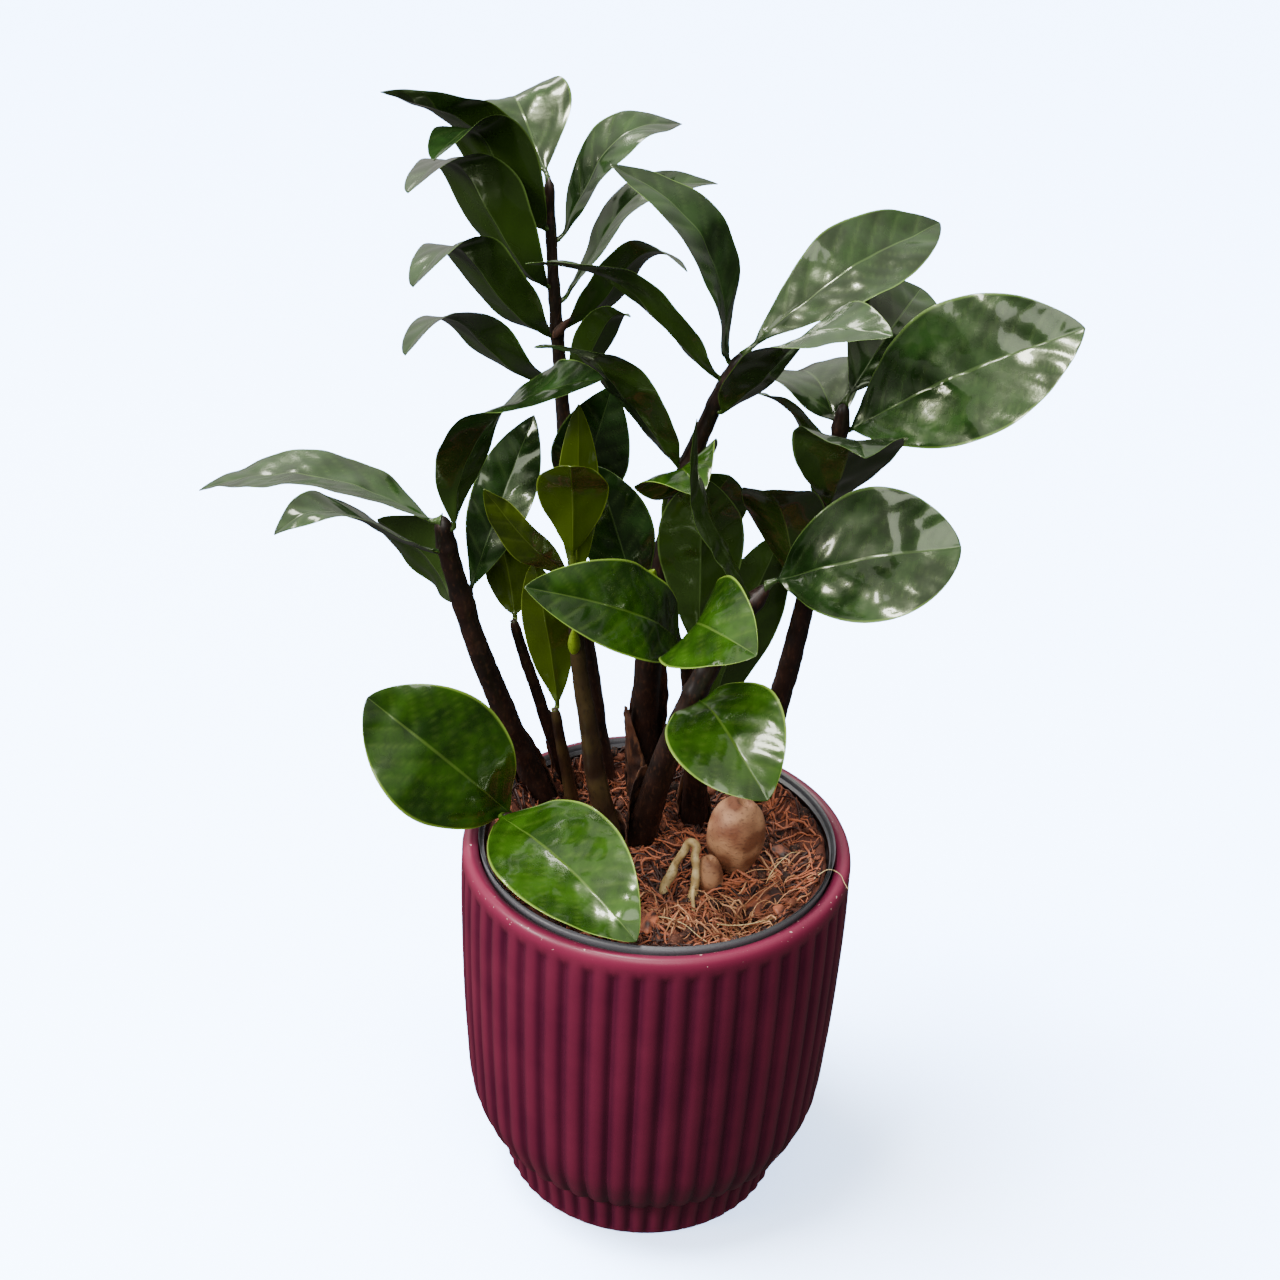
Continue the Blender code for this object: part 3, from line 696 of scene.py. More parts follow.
@dataclass
class CoverPot:
    """The ribbed cover pot: a turned wall whose outside is pressed into upright ribs."""

    wall: float = 6.0
    floor: float = 10.0
    lip: float = 5.0
    rib_depth: float = 1.5
    steps_per_rib: int = 12

    def outside(self) -> list[tuple[float, float]]:
        """Return the outer profile from the base to the top of the lip.

        Returns:
            Radius and height pairs.
        """
        return [
            (52.8, 0.5), (53.6, 1.3), (54.4, 8.0), (55.7, 15.5), (56.1, 18.0), (58.4, 20.3),
            (61.0, 22.3), (62.5, 25.0), (64.7, 30.0), (67.4, 40.0), (68.8, 60.0), (69.8, 80.0),
            (70.4, 105.0), (70.5, 125.0), (70.1, POT_TOP - self.lip), (69.9, POT_TOP - 2.6),
            (69.3, POT_TOP - 0.9), (67.9, POT_TOP - 0.05),
        ]

    def inside(self) -> list[tuple[float, float]]:
        """Return the inner profile from the top of the lip to the cavity's floor.

        Returns:
            Radius and height pairs.
        """
        inner = POT_RADIUS - self.wall
        return [
            (66.6, POT_TOP - 0.1), (65.2, POT_TOP - 1.0), (inner + 0.2, POT_TOP - 3.0), (inner, 120.0),
            (inner - 1.2, 67.0), (inner - 3.5, 41.0), (inner - 9.0, 27.0), (47.5, 19.0), (46.5, self.floor),
        ]

    def build(self) -> None:
        """Turn the pot, press its ribs and glaze it."""
        outer = turned_profile(self.outside(), 104)
        inner = turned_profile(self.inside(), 40)
        base = np.array([(20.0, 0.0), (44.0, 0.0), (51.0, 0.0)])
        floor = np.array([(40.0, self.floor), (15.0, self.floor)])
        profile = np.concatenate([base, outer, inner, floor])
        rings = turn_profile(profile, RIBS * self.steps_per_rib)
        x, y, height = rings[0, ..., 0], rings[0, ..., 1], rings[0, ..., 2]
        angle = np.arctan2(y, x)
        is_outside = np.zeros(len(profile))
        is_outside[len(base) : len(base) + len(outer)] = 1.0
        # Each rib is the top half of a rounded wave with a narrow valley: |sin| raised to 0.75.
        wave = np.abs(np.sin(angle * RIBS / 2.0)) ** 0.75
        top = POT_TOP - self.lip
        # The ribs stop in rounded ends under the lip and fade at the very bottom of the foot.
        ribbed = (1.0 - ease(top - 3.2, top + 0.6, height + 1.8 * (1.0 - wave))) * ease(0.2, 2.2, height)
        depth = self.rib_depth * (1.0 - wave) * ribbed * is_outside[:, None]
        radius = np.hypot(x, y)
        rings[0, ..., 0] -= depth * x / radius
        rings[0, ..., 1] -= depth * y / radius
        crest = (ease(0.55, 1.0, wave) * ribbed * 0.55 + (1.0 - ribbed) * 0.75) * is_outside[:, None]
        # rim marks the lip band: it carries the pale nicks and the lip's painted highlight.
        rim = ease(top, top + 2.0, height)
        values = {"crest": crest[None], "rim": rim[None]}
        make_piece("glazed_pot", rings, GLAZE, ("outer_pot",), values, lift=0.0)


@dataclass
class NurseryLiner:
    """The thin moulded liner, with the rolled edge that shows inside the rim."""

    floor_radius: float = 45.0
    floor_height: float = 10.4
    edge_roll: float = 0.7

    def build(self) -> None:
        """Turn the liner's wall, round its edge and paint a highlight along the edge's top."""
        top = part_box("nursery_liner")[1].z / MM
        out = LINER_RADIUS
        roll = self.edge_roll
        corners = [
            (self.floor_radius - 3.0, self.floor_height), (self.floor_radius, self.floor_height + 1.0),
            (out - 0.45, top - 5.0), (out - 0.3, top - 2.2), (out, top - 1.4), (out - 0.1, top - 0.5),
            (out - roll, top), (out - 2 * roll, top - 0.5), (out - 2.2 * roll, top - 2.2),
            (out - 0.6 - 2 * roll, top - 6.0), (self.floor_radius - LINER_WALL, self.floor_height + 2.2),
            (self.floor_radius - 4.0, self.floor_height + LINER_WALL),
        ]
        rings = turn_profile(turned_profile(corners, 90), 144)
        # Painted highlight: the top of the rolled edge is mixed towards the pale grey.
        tone = 0.8 * ease(top - 1.6, top - 0.3, rings[..., 2])
        make_piece("moulded_liner", rings, MOULDED, ("nursery_liner",), {"tone": tone}, lift=0.0)


@dataclass
class CoirBed:
    """Soil of coir: a lumpy bed with crumbs of pith, red fibres and tufts of straw on it."""

    radius: float = 61.3
    depth: float = 118.0
    crumb_count: int = 900
    fibre_count: int = 2100
    straw_count: int = 230
    seed: int = 7

    def height(self, points: Array) -> Array:
        """Return the bed's height at points: broad mounds plus lumps, in millimetres.

        It is 1.2 mm times ripples 34 mm long, 1.2 mm times ripples 10 mm long and 0.55 mm times
        ripples 4 mm long, banked up by 1.5 mm towards the stems and by 7.2 mm at the wall.

        Args:
            points: Positions, with x, y and z on the last axis.

        Returns:
            Heights above the soil's level, one for each point.
        """
        flat = points * np.array((1.0, 1.0, 0.0))
        middle = np.hypot(flat[..., 0] + 12.0, flat[..., 1] - 20.0)
        broad = 1.2 * ripples(flat, 34.0, self.seed) + 1.2 * ripples(flat, 10.0, self.seed + 1)
        bank = 7.2 * ease(49.0, 60.5, np.hypot(flat[..., 0], flat[..., 1]))
        return broad + 0.55 * ripples(flat, 4.0, self.seed + 2) + 1.5 * hump(middle, 30.0) + bank - 0.8

    def build(self) -> None:
        """Build the bed and scatter everything that lies on it."""
        reach = np.linspace(1.0, 0.02, 62) * self.radius
        low = self.radius - 14.0
        wall = np.array(
            [(8.0, -self.depth), (low, -self.depth), (self.radius - 0.4, -8.0), (self.radius, -3.0)]
        )
        top = np.stack([reach, np.zeros_like(reach)], axis=-1)
        rings = turn_profile(np.concatenate([wall, top]), 220)
        surface = rings[0, len(wall) :]
        surface[..., 2] = self.height(surface)
        # Painted shade: low places of the bed are darker and high ones lighter, by 0.1 of the height.
        tone = 0.12 * ripples(rings, 7.0, self.seed + 3) + 0.1 * rings[..., 2].clip(-4.0, 4.0)
        make_piece("coir_bed", rings, COIR_BED, ("soil",), {"tone": tone})
        self.crumbs()
        self.fibres("coir_fibres", COIR_FIBRE, self.fibre_count, (6.0, 22.0), (0.18, 0.62), 0.0)
        self.fibres("straw_fibres", STRAW, self.straw_count, (6.0, 18.0), (0.16, 0.5), 1.0)
        self.husk_chips()

    def spots(self, rng: np.random.Generator, count: int, inset: float) -> Array:
        """Return random places on the bed, evenly spread over its disc.

        Args:
            rng: Source of the random places.
            count: How many are wanted.
            inset: How far they stay from the bed's edge, in millimetres.

        Returns:
            Positions on the bed's surface, over (place, xyz).
        """
        reach = (self.radius - inset) * np.sqrt(rng.uniform(0.0, 1.0, count))
        angle = rng.uniform(0.0, math.tau, count)
        flat = np.stack([reach * np.cos(angle), reach * np.sin(angle), np.zeros(count)], axis=-1)
        flat[:, 2] = self.height(flat)
        return flat

    def crumbs(self) -> None:
        """Scatter crumbs of pith: small uneven balls of 36 faces, larger ones fewer."""
        rng = np.random.default_rng(self.seed + 10)
        count = self.crumb_count
        spots = self.spots(rng, count, 1.5)
        size = 0.5 + 1.9 * rng.uniform(0.0, 1.0, count) ** 3
        spots[:, 2] += size * 0.3
        polar = np.linspace(0.25, math.pi - 0.25, 5)
        angle = np.arange(6) / 6 * math.tau
        ball = np.stack(
            [
                np.sin(polar)[:, None] * np.cos(angle),
                np.sin(polar)[:, None] * np.sin(angle),
                np.broadcast_to(-np.cos(polar)[:, None], (5, 6)),
            ],
            axis=-1,
        )
        stretch = rng.uniform(0.6, 1.35, (count, 1, 1, 3))
        knobs = rng.uniform(0.75, 1.25, (count, 5, 6, 1))
        rings = spots[:, None, None] + size[:, None, None, None] * ball[None] * stretch * knobs
        tone = np.broadcast_to(rng.uniform(-0.35, 0.4, count)[:, None, None], rings.shape[:3])
        make_piece("pith_crumbs", rings, PITH, values={"tone": tone})

    def fibres(
        self,
        name: str,
        finish: Finish,
        count: int,
        lengths: tuple[float, float],
        radii: tuple[float, float],
        tufted: float,
    ) -> None:
        """Lay loose fibres: bent arcs that start on the bed, rise a little and come down again.

        A fibre's bearing turns at a steady random rate, and its height over the bed is a random
        rise times sin(pi t). Tufted fibres gather round a few centres and stand up more.

        Args:
            name: Name of the piece.
            finish: What the fibres are.
            count: How many there are.
            lengths: Shortest and longest, in millimetres.
            radii: Thinnest and thickest.
            tufted: 0 for an even scatter and 1 for tufts.
        """
        rng = np.random.default_rng(self.seed + 20 + count)
        start = self.spots(rng, count, 3.0)
        if tufted:
            centres = np.array([(30, -37), (23, -42), (12, -38), (37, -28), (0, -30), (28, -32), (46, -8)])
            pick = rng.integers(0, len(centres), count)
            start[:, :2] = centres[pick] + rng.normal(0.0, 3.5, (count, 2))
        length = rng.uniform(*lengths, count)
        bearing = rng.uniform(0.0, math.tau, count)
        curl = rng.normal(0.0, 1.1, count)
        t = np.linspace(0.0, 1.0, 7)
        angle = bearing[:, None] + curl[:, None] * t
        step = length[:, None] / (len(t) - 1)
        run = np.stack([np.cos(angle) * step, np.sin(angle) * step, np.zeros_like(angle)], axis=-1)
        path = start[:, None] + np.cumsum(run, axis=1) - run[:, :1]
        reach = np.hypot(path[..., 0], path[..., 1])
        squeeze = np.minimum(1.0, (self.radius - 1.5) / np.maximum(reach, 1e-6))
        path[..., :2] *= squeeze[..., None]
        rise = (1.3 + 1.0 * tufted) * np.abs(rng.normal(0.0, 1.0, count))
        path[..., 2] = self.height(path) + 0.25 + rise[:, None] * np.sin(math.pi * t)
        path[..., 2] += tufted * rng.uniform(0.0, 3.0, count)[:, None] * t**2
        radius = rng.uniform(*radii, count)[:, None] * (1.0 - 0.55 * t**2)
        rings = tube_rings(path, radius, 4)
        shade = rng.uniform(-0.35, 0.35, count) + 0.4 * (1.0 - tufted) * ripples(start, 12.0, self.seed + 4)
        tone = np.broadcast_to(shade[:, None, None], rings.shape[:3])
        make_piece(name, rings, finish, values={"tone": tone})

    def husk_chips(self) -> None:
        """Lay a few chips of coconut husk, each a rounded slab on its side."""
        chips = [((38, -24), 8.0, 5.0, 55.0), ((46, 8), 6.5, 3.8, -40.0), ((-2, -40), 4.6, 2.8, 70.0),
                 ((13, -50), 3.8, 2.4, 10.0), ((44, -34), 3.6, 2.2, 120.0)]
        for number, (spot, long, wide, bearing) in enumerate(chips, 1):
            polar = np.linspace(0.12, math.pi - 0.12, 14)[:, None]
            angle = np.arange(24)[None] / 24 * math.tau
            along = -np.cos(polar) * long + 0.0 * angle
            girth = np.sin(polar) ** 0.35
            chip = np.stack([along, girth * wide * np.cos(angle), girth * 1.7 * np.sin(angle)], axis=-1)
            chip += 0.35 * ripples(chip, 3.0, number)[..., None]
            turn = math.radians(bearing)
            x = chip[..., 0] * math.cos(turn) - chip[..., 1] * math.sin(turn) + spot[0]
            y = chip[..., 0] * math.sin(turn) + chip[..., 1] * math.cos(turn) + spot[1]
            ground = float(self.height(np.array((*spot, 0.0))))
            rings = np.stack([x, y, chip[..., 2] + ground + 1.2 + 0.15 * chip[..., 0]], axis=-1)[None]
            tone = 0.2 * ripples(rings, 4.0, number + 9)
            make_piece(f"husk_chip_{number}", rings, COIR_FIBRE, values={"tone": tone})


# ---------------------------------------------------------------------------------------------
# Tubers and roots
# ---------------------------------------------------------------------------------------------


@dataclass
class Tuber:
    """A storage tuber that stands out of the soil, with a scar at its top and ringed skin."""

    name: str
    centre: Point
    half_sizes: Point
    lean: float
    seed: int

    def build(self) -> None:
        """Build the tuber as an egg with dents and rings.

        The radius is the egg's own times 1 + 0.025 ripples + 0.003 sin(rings), plus 0.08 of its
        height towards the top, which makes the upper end the broader one, and the crown is
        pushed in by a bell 0.16 of the height deep to leave the scar of its shoot.
        """
        polar = np.linspace(0.03, math.pi - 0.03, 64)[:, None]
        angle = np.arange(64)[None] / 64 * math.tau
        ball = np.stack(
            [np.sin(polar) * np.cos(angle), np.sin(polar) * np.sin(angle), -np.cos(polar) + 0 * angle],
            axis=-1,
        )
        ringed = np.sin(polar * 22.0 + 0.9 * np.cos(angle))
        swell = 1.0 + 0.025 * ripples(ball, 1.1, self.seed) + 0.003 * ringed
        swell += 0.08 * ball[..., 2] * np.sin(polar)
        shape = ball * swell[..., None] * np.array(self.half_sizes)
        scar = hump(np.hypot(ball[..., 0] - 0.15, ball[..., 1]), 0.2)
        shape[..., 2] -= 0.16 * self.half_sizes[2] * scar * (ball[..., 2] > 0)
        turn = math.radians(self.lean)
        x = shape[..., 0] * math.cos(turn) + shape[..., 2] * math.sin(turn)
        z = shape[..., 2] * math.cos(turn) - shape[..., 0] * math.sin(turn)
        rings = (np.stack([x, shape[..., 1], z], axis=-1) + np.array(self.centre))[None]
        tone = 0.25 * ripples(rings, 9.0, self.seed + 1) - 0.12 * ease(6.0, -4.0, rings[..., 2])
        make_piece(f"skin_{self.name}", rings, TUBER_SKIN, (self.name,), {"tone": tone})


@dataclass
class SurfaceRoots:
    """Pale roots on the soil: the arched one in front of the small tuber and thin hairs."""

    arch: Stem = Stem((3, -17), (13, -13, 17), (12, -29, -6), 1.6, 1.4)

    def build(self) -> None:
        """Build the arched root, its side root and the hair fibres."""
        share = np.linspace(-0.12, 1.0, 70)
        path, _, radius = curve_point(self.arch, share)
        path += 0.35 * np.stack([ripples(path, 7.0, 31), ripples(path, 7.0, 32), 0 * share], axis=-1)
        radius = radius * (1.0 + 0.10 * ripples(path, 4.0, 33))
        rings = tube_rings(path[None], radius[None], 18)
        tone = 0.3 * ripples(rings, 5.0, 34)
        make_piece("arched_root", rings, ROOT_SKIN, ("surface_root",), {"tone": tone})
        side = Stem((15, -19), (13, -27, 7), (14, -31, -4), 0.9, 0.6)
        self.strand("side_root", side, 40, 12)
        hairs = {
            "hair_rim": Stem((49, -24), (60, -14, 9), (66, -30, 13), 0.22, 0.12),
            "hair_back": Stem((40, -10), (47, -2, 6), (54, 6, 1), 0.2, 0.12),
            "hair_front": Stem((20, -36), (34, -42, 6), (46, -30, 2), 0.24, 0.12),
            "hair_left": Stem((-2, -34), (8, -42, 5), (20, -50, 1), 0.24, 0.14),
        }
        for name, hair in hairs.items():
            self.strand(name, hair, 26, 6)

    def strand(self, name: str, course: Stem, stations: int, sides: int) -> None:
        """Build one thin root along a course, from just under the soil to its end.

        Args:
            name: Name of the piece.
            course: The curve it follows and its radii.
            stations: How many rings it has.
            sides: Places round a ring.
        """
        path, _, radius = curve_point(course, np.linspace(-0.08, 1.0, stations))
        path += 0.3 * np.stack([ripples(path, 9.0, 41), ripples(path, 9.0, 42), 0 * radius], axis=-1)
        rings = tube_rings(path[None], radius[None], sides)
        tone = np.full(rings.shape[:3], 0.2)
        make_piece(name, rings, ROOT_SKIN, values={"tone": tone})


# ---------------------------------------------------------------------------------------------
# Shoots and leaves
# ---------------------------------------------------------------------------------------------


@dataclass
class Shoot:
    """One stem: swollen at its foot, thickened where each leaf joins and rounded at its crown."""

    name: str
    stem: Stem
    seed: int
    planting: float = 9.0
    foot_swell: float = 0.16
    node_swell: float = 0.14

    def build(self) -> None:
        """Carry a circle up the stem's curve.

        The radius tapers evenly, times 1 + 0.16 e^-(h/14)^2 at the foot and 1 + 0.14 at each
        leaf's joint, and falls as a quarter circle over the last three radii of length.
        """
        start, heading, _ = curve_point(self.stem, 0.0)
        below = start - heading * np.linspace(self.planting, 0.5, 6)[:, None]
        share = np.linspace(0.0, 1.0, 96)
        path, _, radius = curve_point(self.stem, share)
        length = np.concatenate([[0.0], np.cumsum(np.linalg.norm(np.diff(path, axis=0), axis=1))])
        swell = 1.0 + self.foot_swell * hump(length, 14.0)
        joints = [leaf.station for leaf in LEAVES.values() if leaf.stem == self.name]
        for joint in joints:
            swell += self.node_swell * hump(length - np.interp(joint, share, length), 2.2)
        tip = np.clip((length[-1] - length) / (3.0 * self.stem.crown_radius), 0.0, 1.0)
        dome = np.sqrt(np.clip(1.0 - (1.0 - tip) ** 2, 0.02, 1.0))
        radius = radius * swell * dome
        path = np.concatenate([below, path])
        radius = np.concatenate([np.full(len(below), radius[0]), radius])
        wobble = 0.25 * np.stack(
            [ripples(path, 30.0, self.seed), ripples(path, 30.0, self.seed + 1), 0 * radius], -1
        )
        rings = tube_rings((path + wobble)[None], radius[None], 32)
        centre = (path + wobble)[None, :, None]
        rings = centre + (rings - centre) * (1.0 + 0.03 * ripples(rings, 6.0, self.seed + 2))[..., None]
        tone = 0.16 * ripples(rings, 12.0, self.seed + 3)
        finish = SKINS[self.stem.bark]
        make_piece(f"shoot_{self.name}", rings, finish, (f"stem_{self.name}",), {"tone": tone})


@dataclass
class PaperyBract:
    """A dry papery sheath that wraps part of a stem's foot and ends in a ragged point."""

    name: str
    stem: Stem
    low: float
    high: float
    bearing: float
    wrap: float
    flare: float
    seed: int
    thickness: float = 0.35

    def build(self) -> None:
        """Wrap a sheet round the stem.

        A place on the sheet is a share of the way up and a bearing; it lies clear of the stem by
        a gap that grows as the square of the share. The sheet narrows towards its tip, and each
        ring runs out along its outer face and back along its inner one.
        """
        up = np.linspace(0.0, 1.0, 36)
        path, heading, radius = curve_point(self.stem, self.low + (self.high - self.low) * up)
        forward = heading
        aside = unit(np.cross(np.array((0.0, 1.0, 0.0)), forward))
        other = np.cross(forward, aside)
        half = math.radians(self.wrap) / 2 * (1.0 - up**1.6 * 0.93)
        across = np.concatenate([np.linspace(-1, 1, 20), np.linspace(1, -1, 20)])
        inner = np.repeat([0.0, 1.0], 20)
        turn = math.radians(self.bearing) + half[:, None] * across[None]
        gap = 0.55 + self.flare * up[:, None] ** 2 + 0.5 * np.abs(across) ** 3 - self.thickness * inner
        out = radius[:, None] * 1.14 + gap
        face = np.cos(turn)[..., None] * aside[:, None] + np.sin(turn)[..., None] * other[:, None]
        rings = (path[:, None] + face * out[..., None])[None]
        rings += 0.25 * face[None] * ripples(rings, 5.0, self.seed)[..., None]
        tone = 0.25 * ripples(rings, 6.0, self.seed + 1)
        make_piece(self.name, rings, BRACT, values={"tone": tone})


@dataclass
class Bud:
    """A small pointed bud or scale at a joint."""

    name: str
    start: Point
    end: Point
    radius: float
    finish: Finish
    slot: str

    def build(self) -> None:
        """Carry a circle from start to end with radius r sin(pi t^0.7)^0.8, a plump teardrop."""
        t = np.linspace(0.02, 0.98, 26)
        path = np.array(self.start) + t[:, None] * (np.array(self.end) - np.array(self.start))
        radius = self.radius * np.sin(math.pi * t**0.7) ** 0.8
        rings = tube_rings(path[None], radius[None], 18)
        make_piece(self.name, rings, self.finish, values={"tone": np.zeros(rings.shape[:3])})


@dataclass
class Blade:
    """One leaf with its short stalk, midrib, side veins and gently waved edges."""

    name: str
    leaf: Leaf
    seed: int
    stations: int = 84
    places: int = 56
    neck: float = 0.9
    thickness: float = 0.36
    vein_pitch: float = 8.5
    stalk_share: float = 0.8
    groove: float = 0.26
    vein_depth: float = 0.08
    quilt_depth: float = 0.08
    ridge_height: float = 0.5
    edge_wave: float = 0.55
    sag_height: float = 0.6
    pucker: float = 0.26
    offset: float = 1.1
    crown_offset: float = 2.0
    crown_station: float = 0.985

    def root(self) -> tuple[Array, Array]:
        """Return where the stalk leaves the stem's axis and where the blade starts.

        Returns:
            A point on the stem's axis and the blade's neck.
        """
        point, heading, radius = curve_point(STEMS[self.leaf.stem], self.leaf.station)
        point, heading = point[0], heading[0]
        reach = np.array(self.leaf.tip, float) - point
        if self.leaf.station > self.crown_station:
            lean = unit(heading + unit(reach))
            return point, point + lean * (radius[0] + self.crown_offset)
        sideways = reach - (reach @ heading) * heading
        return point, point + unit(sideways) * (radius[0] + self.offset)

    def spine(self, along: Array) -> tuple[Array, Array, Array, Array]:
        """Return the midrib and its frame.

        The midrib is the straight line from neck to tip plus arch * sin(pi u^p) along the upper
        side, where p puts the highest point at peak. The frame turns by twist * (u - 0.4).

        Args:
            along: Shares of the way from neck to tip.

        Returns:
            Points, sideways directions, upward normals and half widths.
        """
        leaf = self.leaf
        _, start = self.root()
        chord = np.array(leaf.tip, float) - start
        bearing, lean = (math.radians(angle) for angle in leaf.faces)
        level = math.sin(lean)
        upward = np.array((level * math.cos(bearing), level * math.sin(bearing), math.cos(lean)))
        forward = unit(chord)
        upper = unit(upward - (upward @ forward) * forward)
        u = along[:, None]
        power = math.log(0.5) / math.log(leaf.peak)
        phase = math.pi * u**power
        slope = leaf.arch * np.cos(phase) * power * phase / np.maximum(u, 1e-4)
        tangent = unit(chord + slope * upper)
        normal = unit(upper - (tangent @ upper)[:, None] * tangent)
        side = np.cross(normal, tangent)
        turn = math.radians(leaf.twist) * (u - 0.4)
        normal, side = (
            np.cos(turn) * normal + np.sin(turn) * side,
            np.cos(turn) * side - np.sin(turn) * normal,
        )
        swell = np.sin(math.pi * along ** (math.log(0.5) / math.log(leaf.belly)))
        least = self.neck + (0.3 - self.neck) * along
        half = np.maximum(leaf.width / 2 * np.clip(swell, 0.0, 1.0) ** leaf.fullness, least)
        return start + u * chord + leaf.arch * np.sin(phase) * upper, side, normal, half

    def stalk(self, first: Array, side: Array, normal: Array) -> Array:
        """Return the rings of the stalk, a round tube from the stem's axis to the blade's neck.

        Its line is a quadratic curve whose far end runs on into the blade. Its radius falls from
        stalk_share of the stem's to the neck's, as the square of what is left of the way.

        Args:
            first: The blade's first point.
            side: Its sideways direction.
            normal: Its upward normal.

        Returns:
            Rings over (station, place, xyz).
        """
        axis, start = self.root()
        forward = np.cross(side, normal)
        t = np.linspace(0.0, 1.0, 8, endpoint=False)[:, None]
        bend = start - forward * 0.6 * np.linalg.norm(start - axis)
        path = (1 - t) ** 2 * axis + 2 * t * (1 - t) * bend + t**2 * first
        _, _, girth = curve_point(STEMS[self.leaf.stem], self.leaf.station)
        radius = self.neck + (self.stalk_share * girth - self.neck) * (1 - t) ** 2
        turn = np.arange(self.places) / self.places * math.tau
        circle = np.cos(turn)[:, None] * side - np.sin(turn)[:, None] * normal
        return path[:, None] + radius[:, None] * circle[None]

    def build(self) -> None:
        """Build the blade as a flattened ring carried along the midrib.

        Round a ring, across is cos(a) |cos(a)|^0.6, which packs places at the midrib, and the
        layer is sin(a): minus above and plus below. The two halves fold up as a V. On top there
        are a groove along the midrib and shallow lines along the side veins, with the blade
        swelling between them; below, the midrib stands out as a ridge.
        """
        leaf = self.leaf
        share = np.linspace(0.0, 1.0, self.stations)
        along = 0.5 * share + 0.5 * (1 - np.cos(math.pi * share)) / 2
        centre, side, normal, half = self.spine(along)
        length = np.linalg.norm(centre[-1] - centre[0])
        angle = np.arange(self.places) / self.places * math.tau
        across = np.cos(angle) * np.abs(np.cos(angle)) ** 0.6
        above = ease(0.05, -0.05, np.sin(angle))
        u, s = along[:, None], across[None]
        w = half[:, None]
        fold = math.radians(leaf.fold)
        lift = (np.sqrt(s**2 + 0.01) - 0.1) * math.sin(fold)
        blade = ease(0.0, 0.07, u)
        thick = self.neck * (1 - blade) + (self.thickness * (1 - 0.4 * u)) * blade
        layer = -np.sin(angle)[None] * thick
        reach = np.abs(s) * w
        drift = 1.1 * ripples(np.stack([u * length + 0 * s, s * w, 0 * s * u], -1), 30.0, self.seed + 1)
        rake = u * length - 0.85 * reach - 0.02 * reach**2 + drift
        vein = rake / self.vein_pitch + np.where(s > 0, 0.5, 0.0)
        gap = np.abs(vein - np.round(vein)) * self.vein_pitch
        body = blade * ease(1.0, 0.9, u) * ease(0.03, 0.15, np.abs(s)) * ease(1.0, 0.82, np.abs(s))
        line = hump(gap, 0.8) * body
        quilt = np.cos(math.tau * vein) * body
        rib = hump(reach, 0.75) * blade * (1 - 0.6 * u)
        ridge = hump(reach, 0.95) * blade * (1 - 0.75 * u)
        wave = self.edge_wave * s**2 * np.sin(math.tau * (2.3 * u + self.seed * 0.37) + 0.8 * s)
        flat = np.stack([u * length + 0 * s, s * w, 0 * s * u], -1)
        sag = self.sag_height * ripples(flat, 26.0, self.seed)
        sag = sag + self.pucker * ripples(flat, 11.0, self.seed + 2)
        upper = -self.groove * rib - self.vein_depth * line - self.quilt_depth * quilt
        lower = self.ridge_height * ridge + 0.5 * self.quilt_depth * quilt
        relief = above * upper - (1 - above) * lower
        raised = layer + relief + (wave + sag) * blade * ease(1.0, 0.85, u)
        spread = (s * math.cos(fold))[..., None] * side[:, None] + lift[..., None] * normal[:, None]
        rings = centre[:, None] + w[..., None] * spread + raised[..., None] * normal[:, None]
        stalk = self.stalk(centre[0], side[0], normal[0])
        rings = np.concatenate([stalk, rings])[None]
        full = np.zeros((len(rings[0]), self.places))
        count = len(stalk)
        underside = full + (1 - above)[None]
        veins = full.copy()
        veins[count:] = line
        tone = full + 0.3 * (np.random.default_rng(self.seed).uniform() - 0.5)
        chart = np.stack([full, full + (across[None] + 1) / 2], axis=-1)
        chart[count:, :, 0] = u
        chart[:count, :, 1] = 0.5
        values = {"underside": underside[None], "veins": veins[None], "tone": tone[None]}
        solid = (f"leaf_{self.name}",)
        make_piece(f"blade_{self.name}", rings, WAXY[leaf.age], solid, values, chart[None])


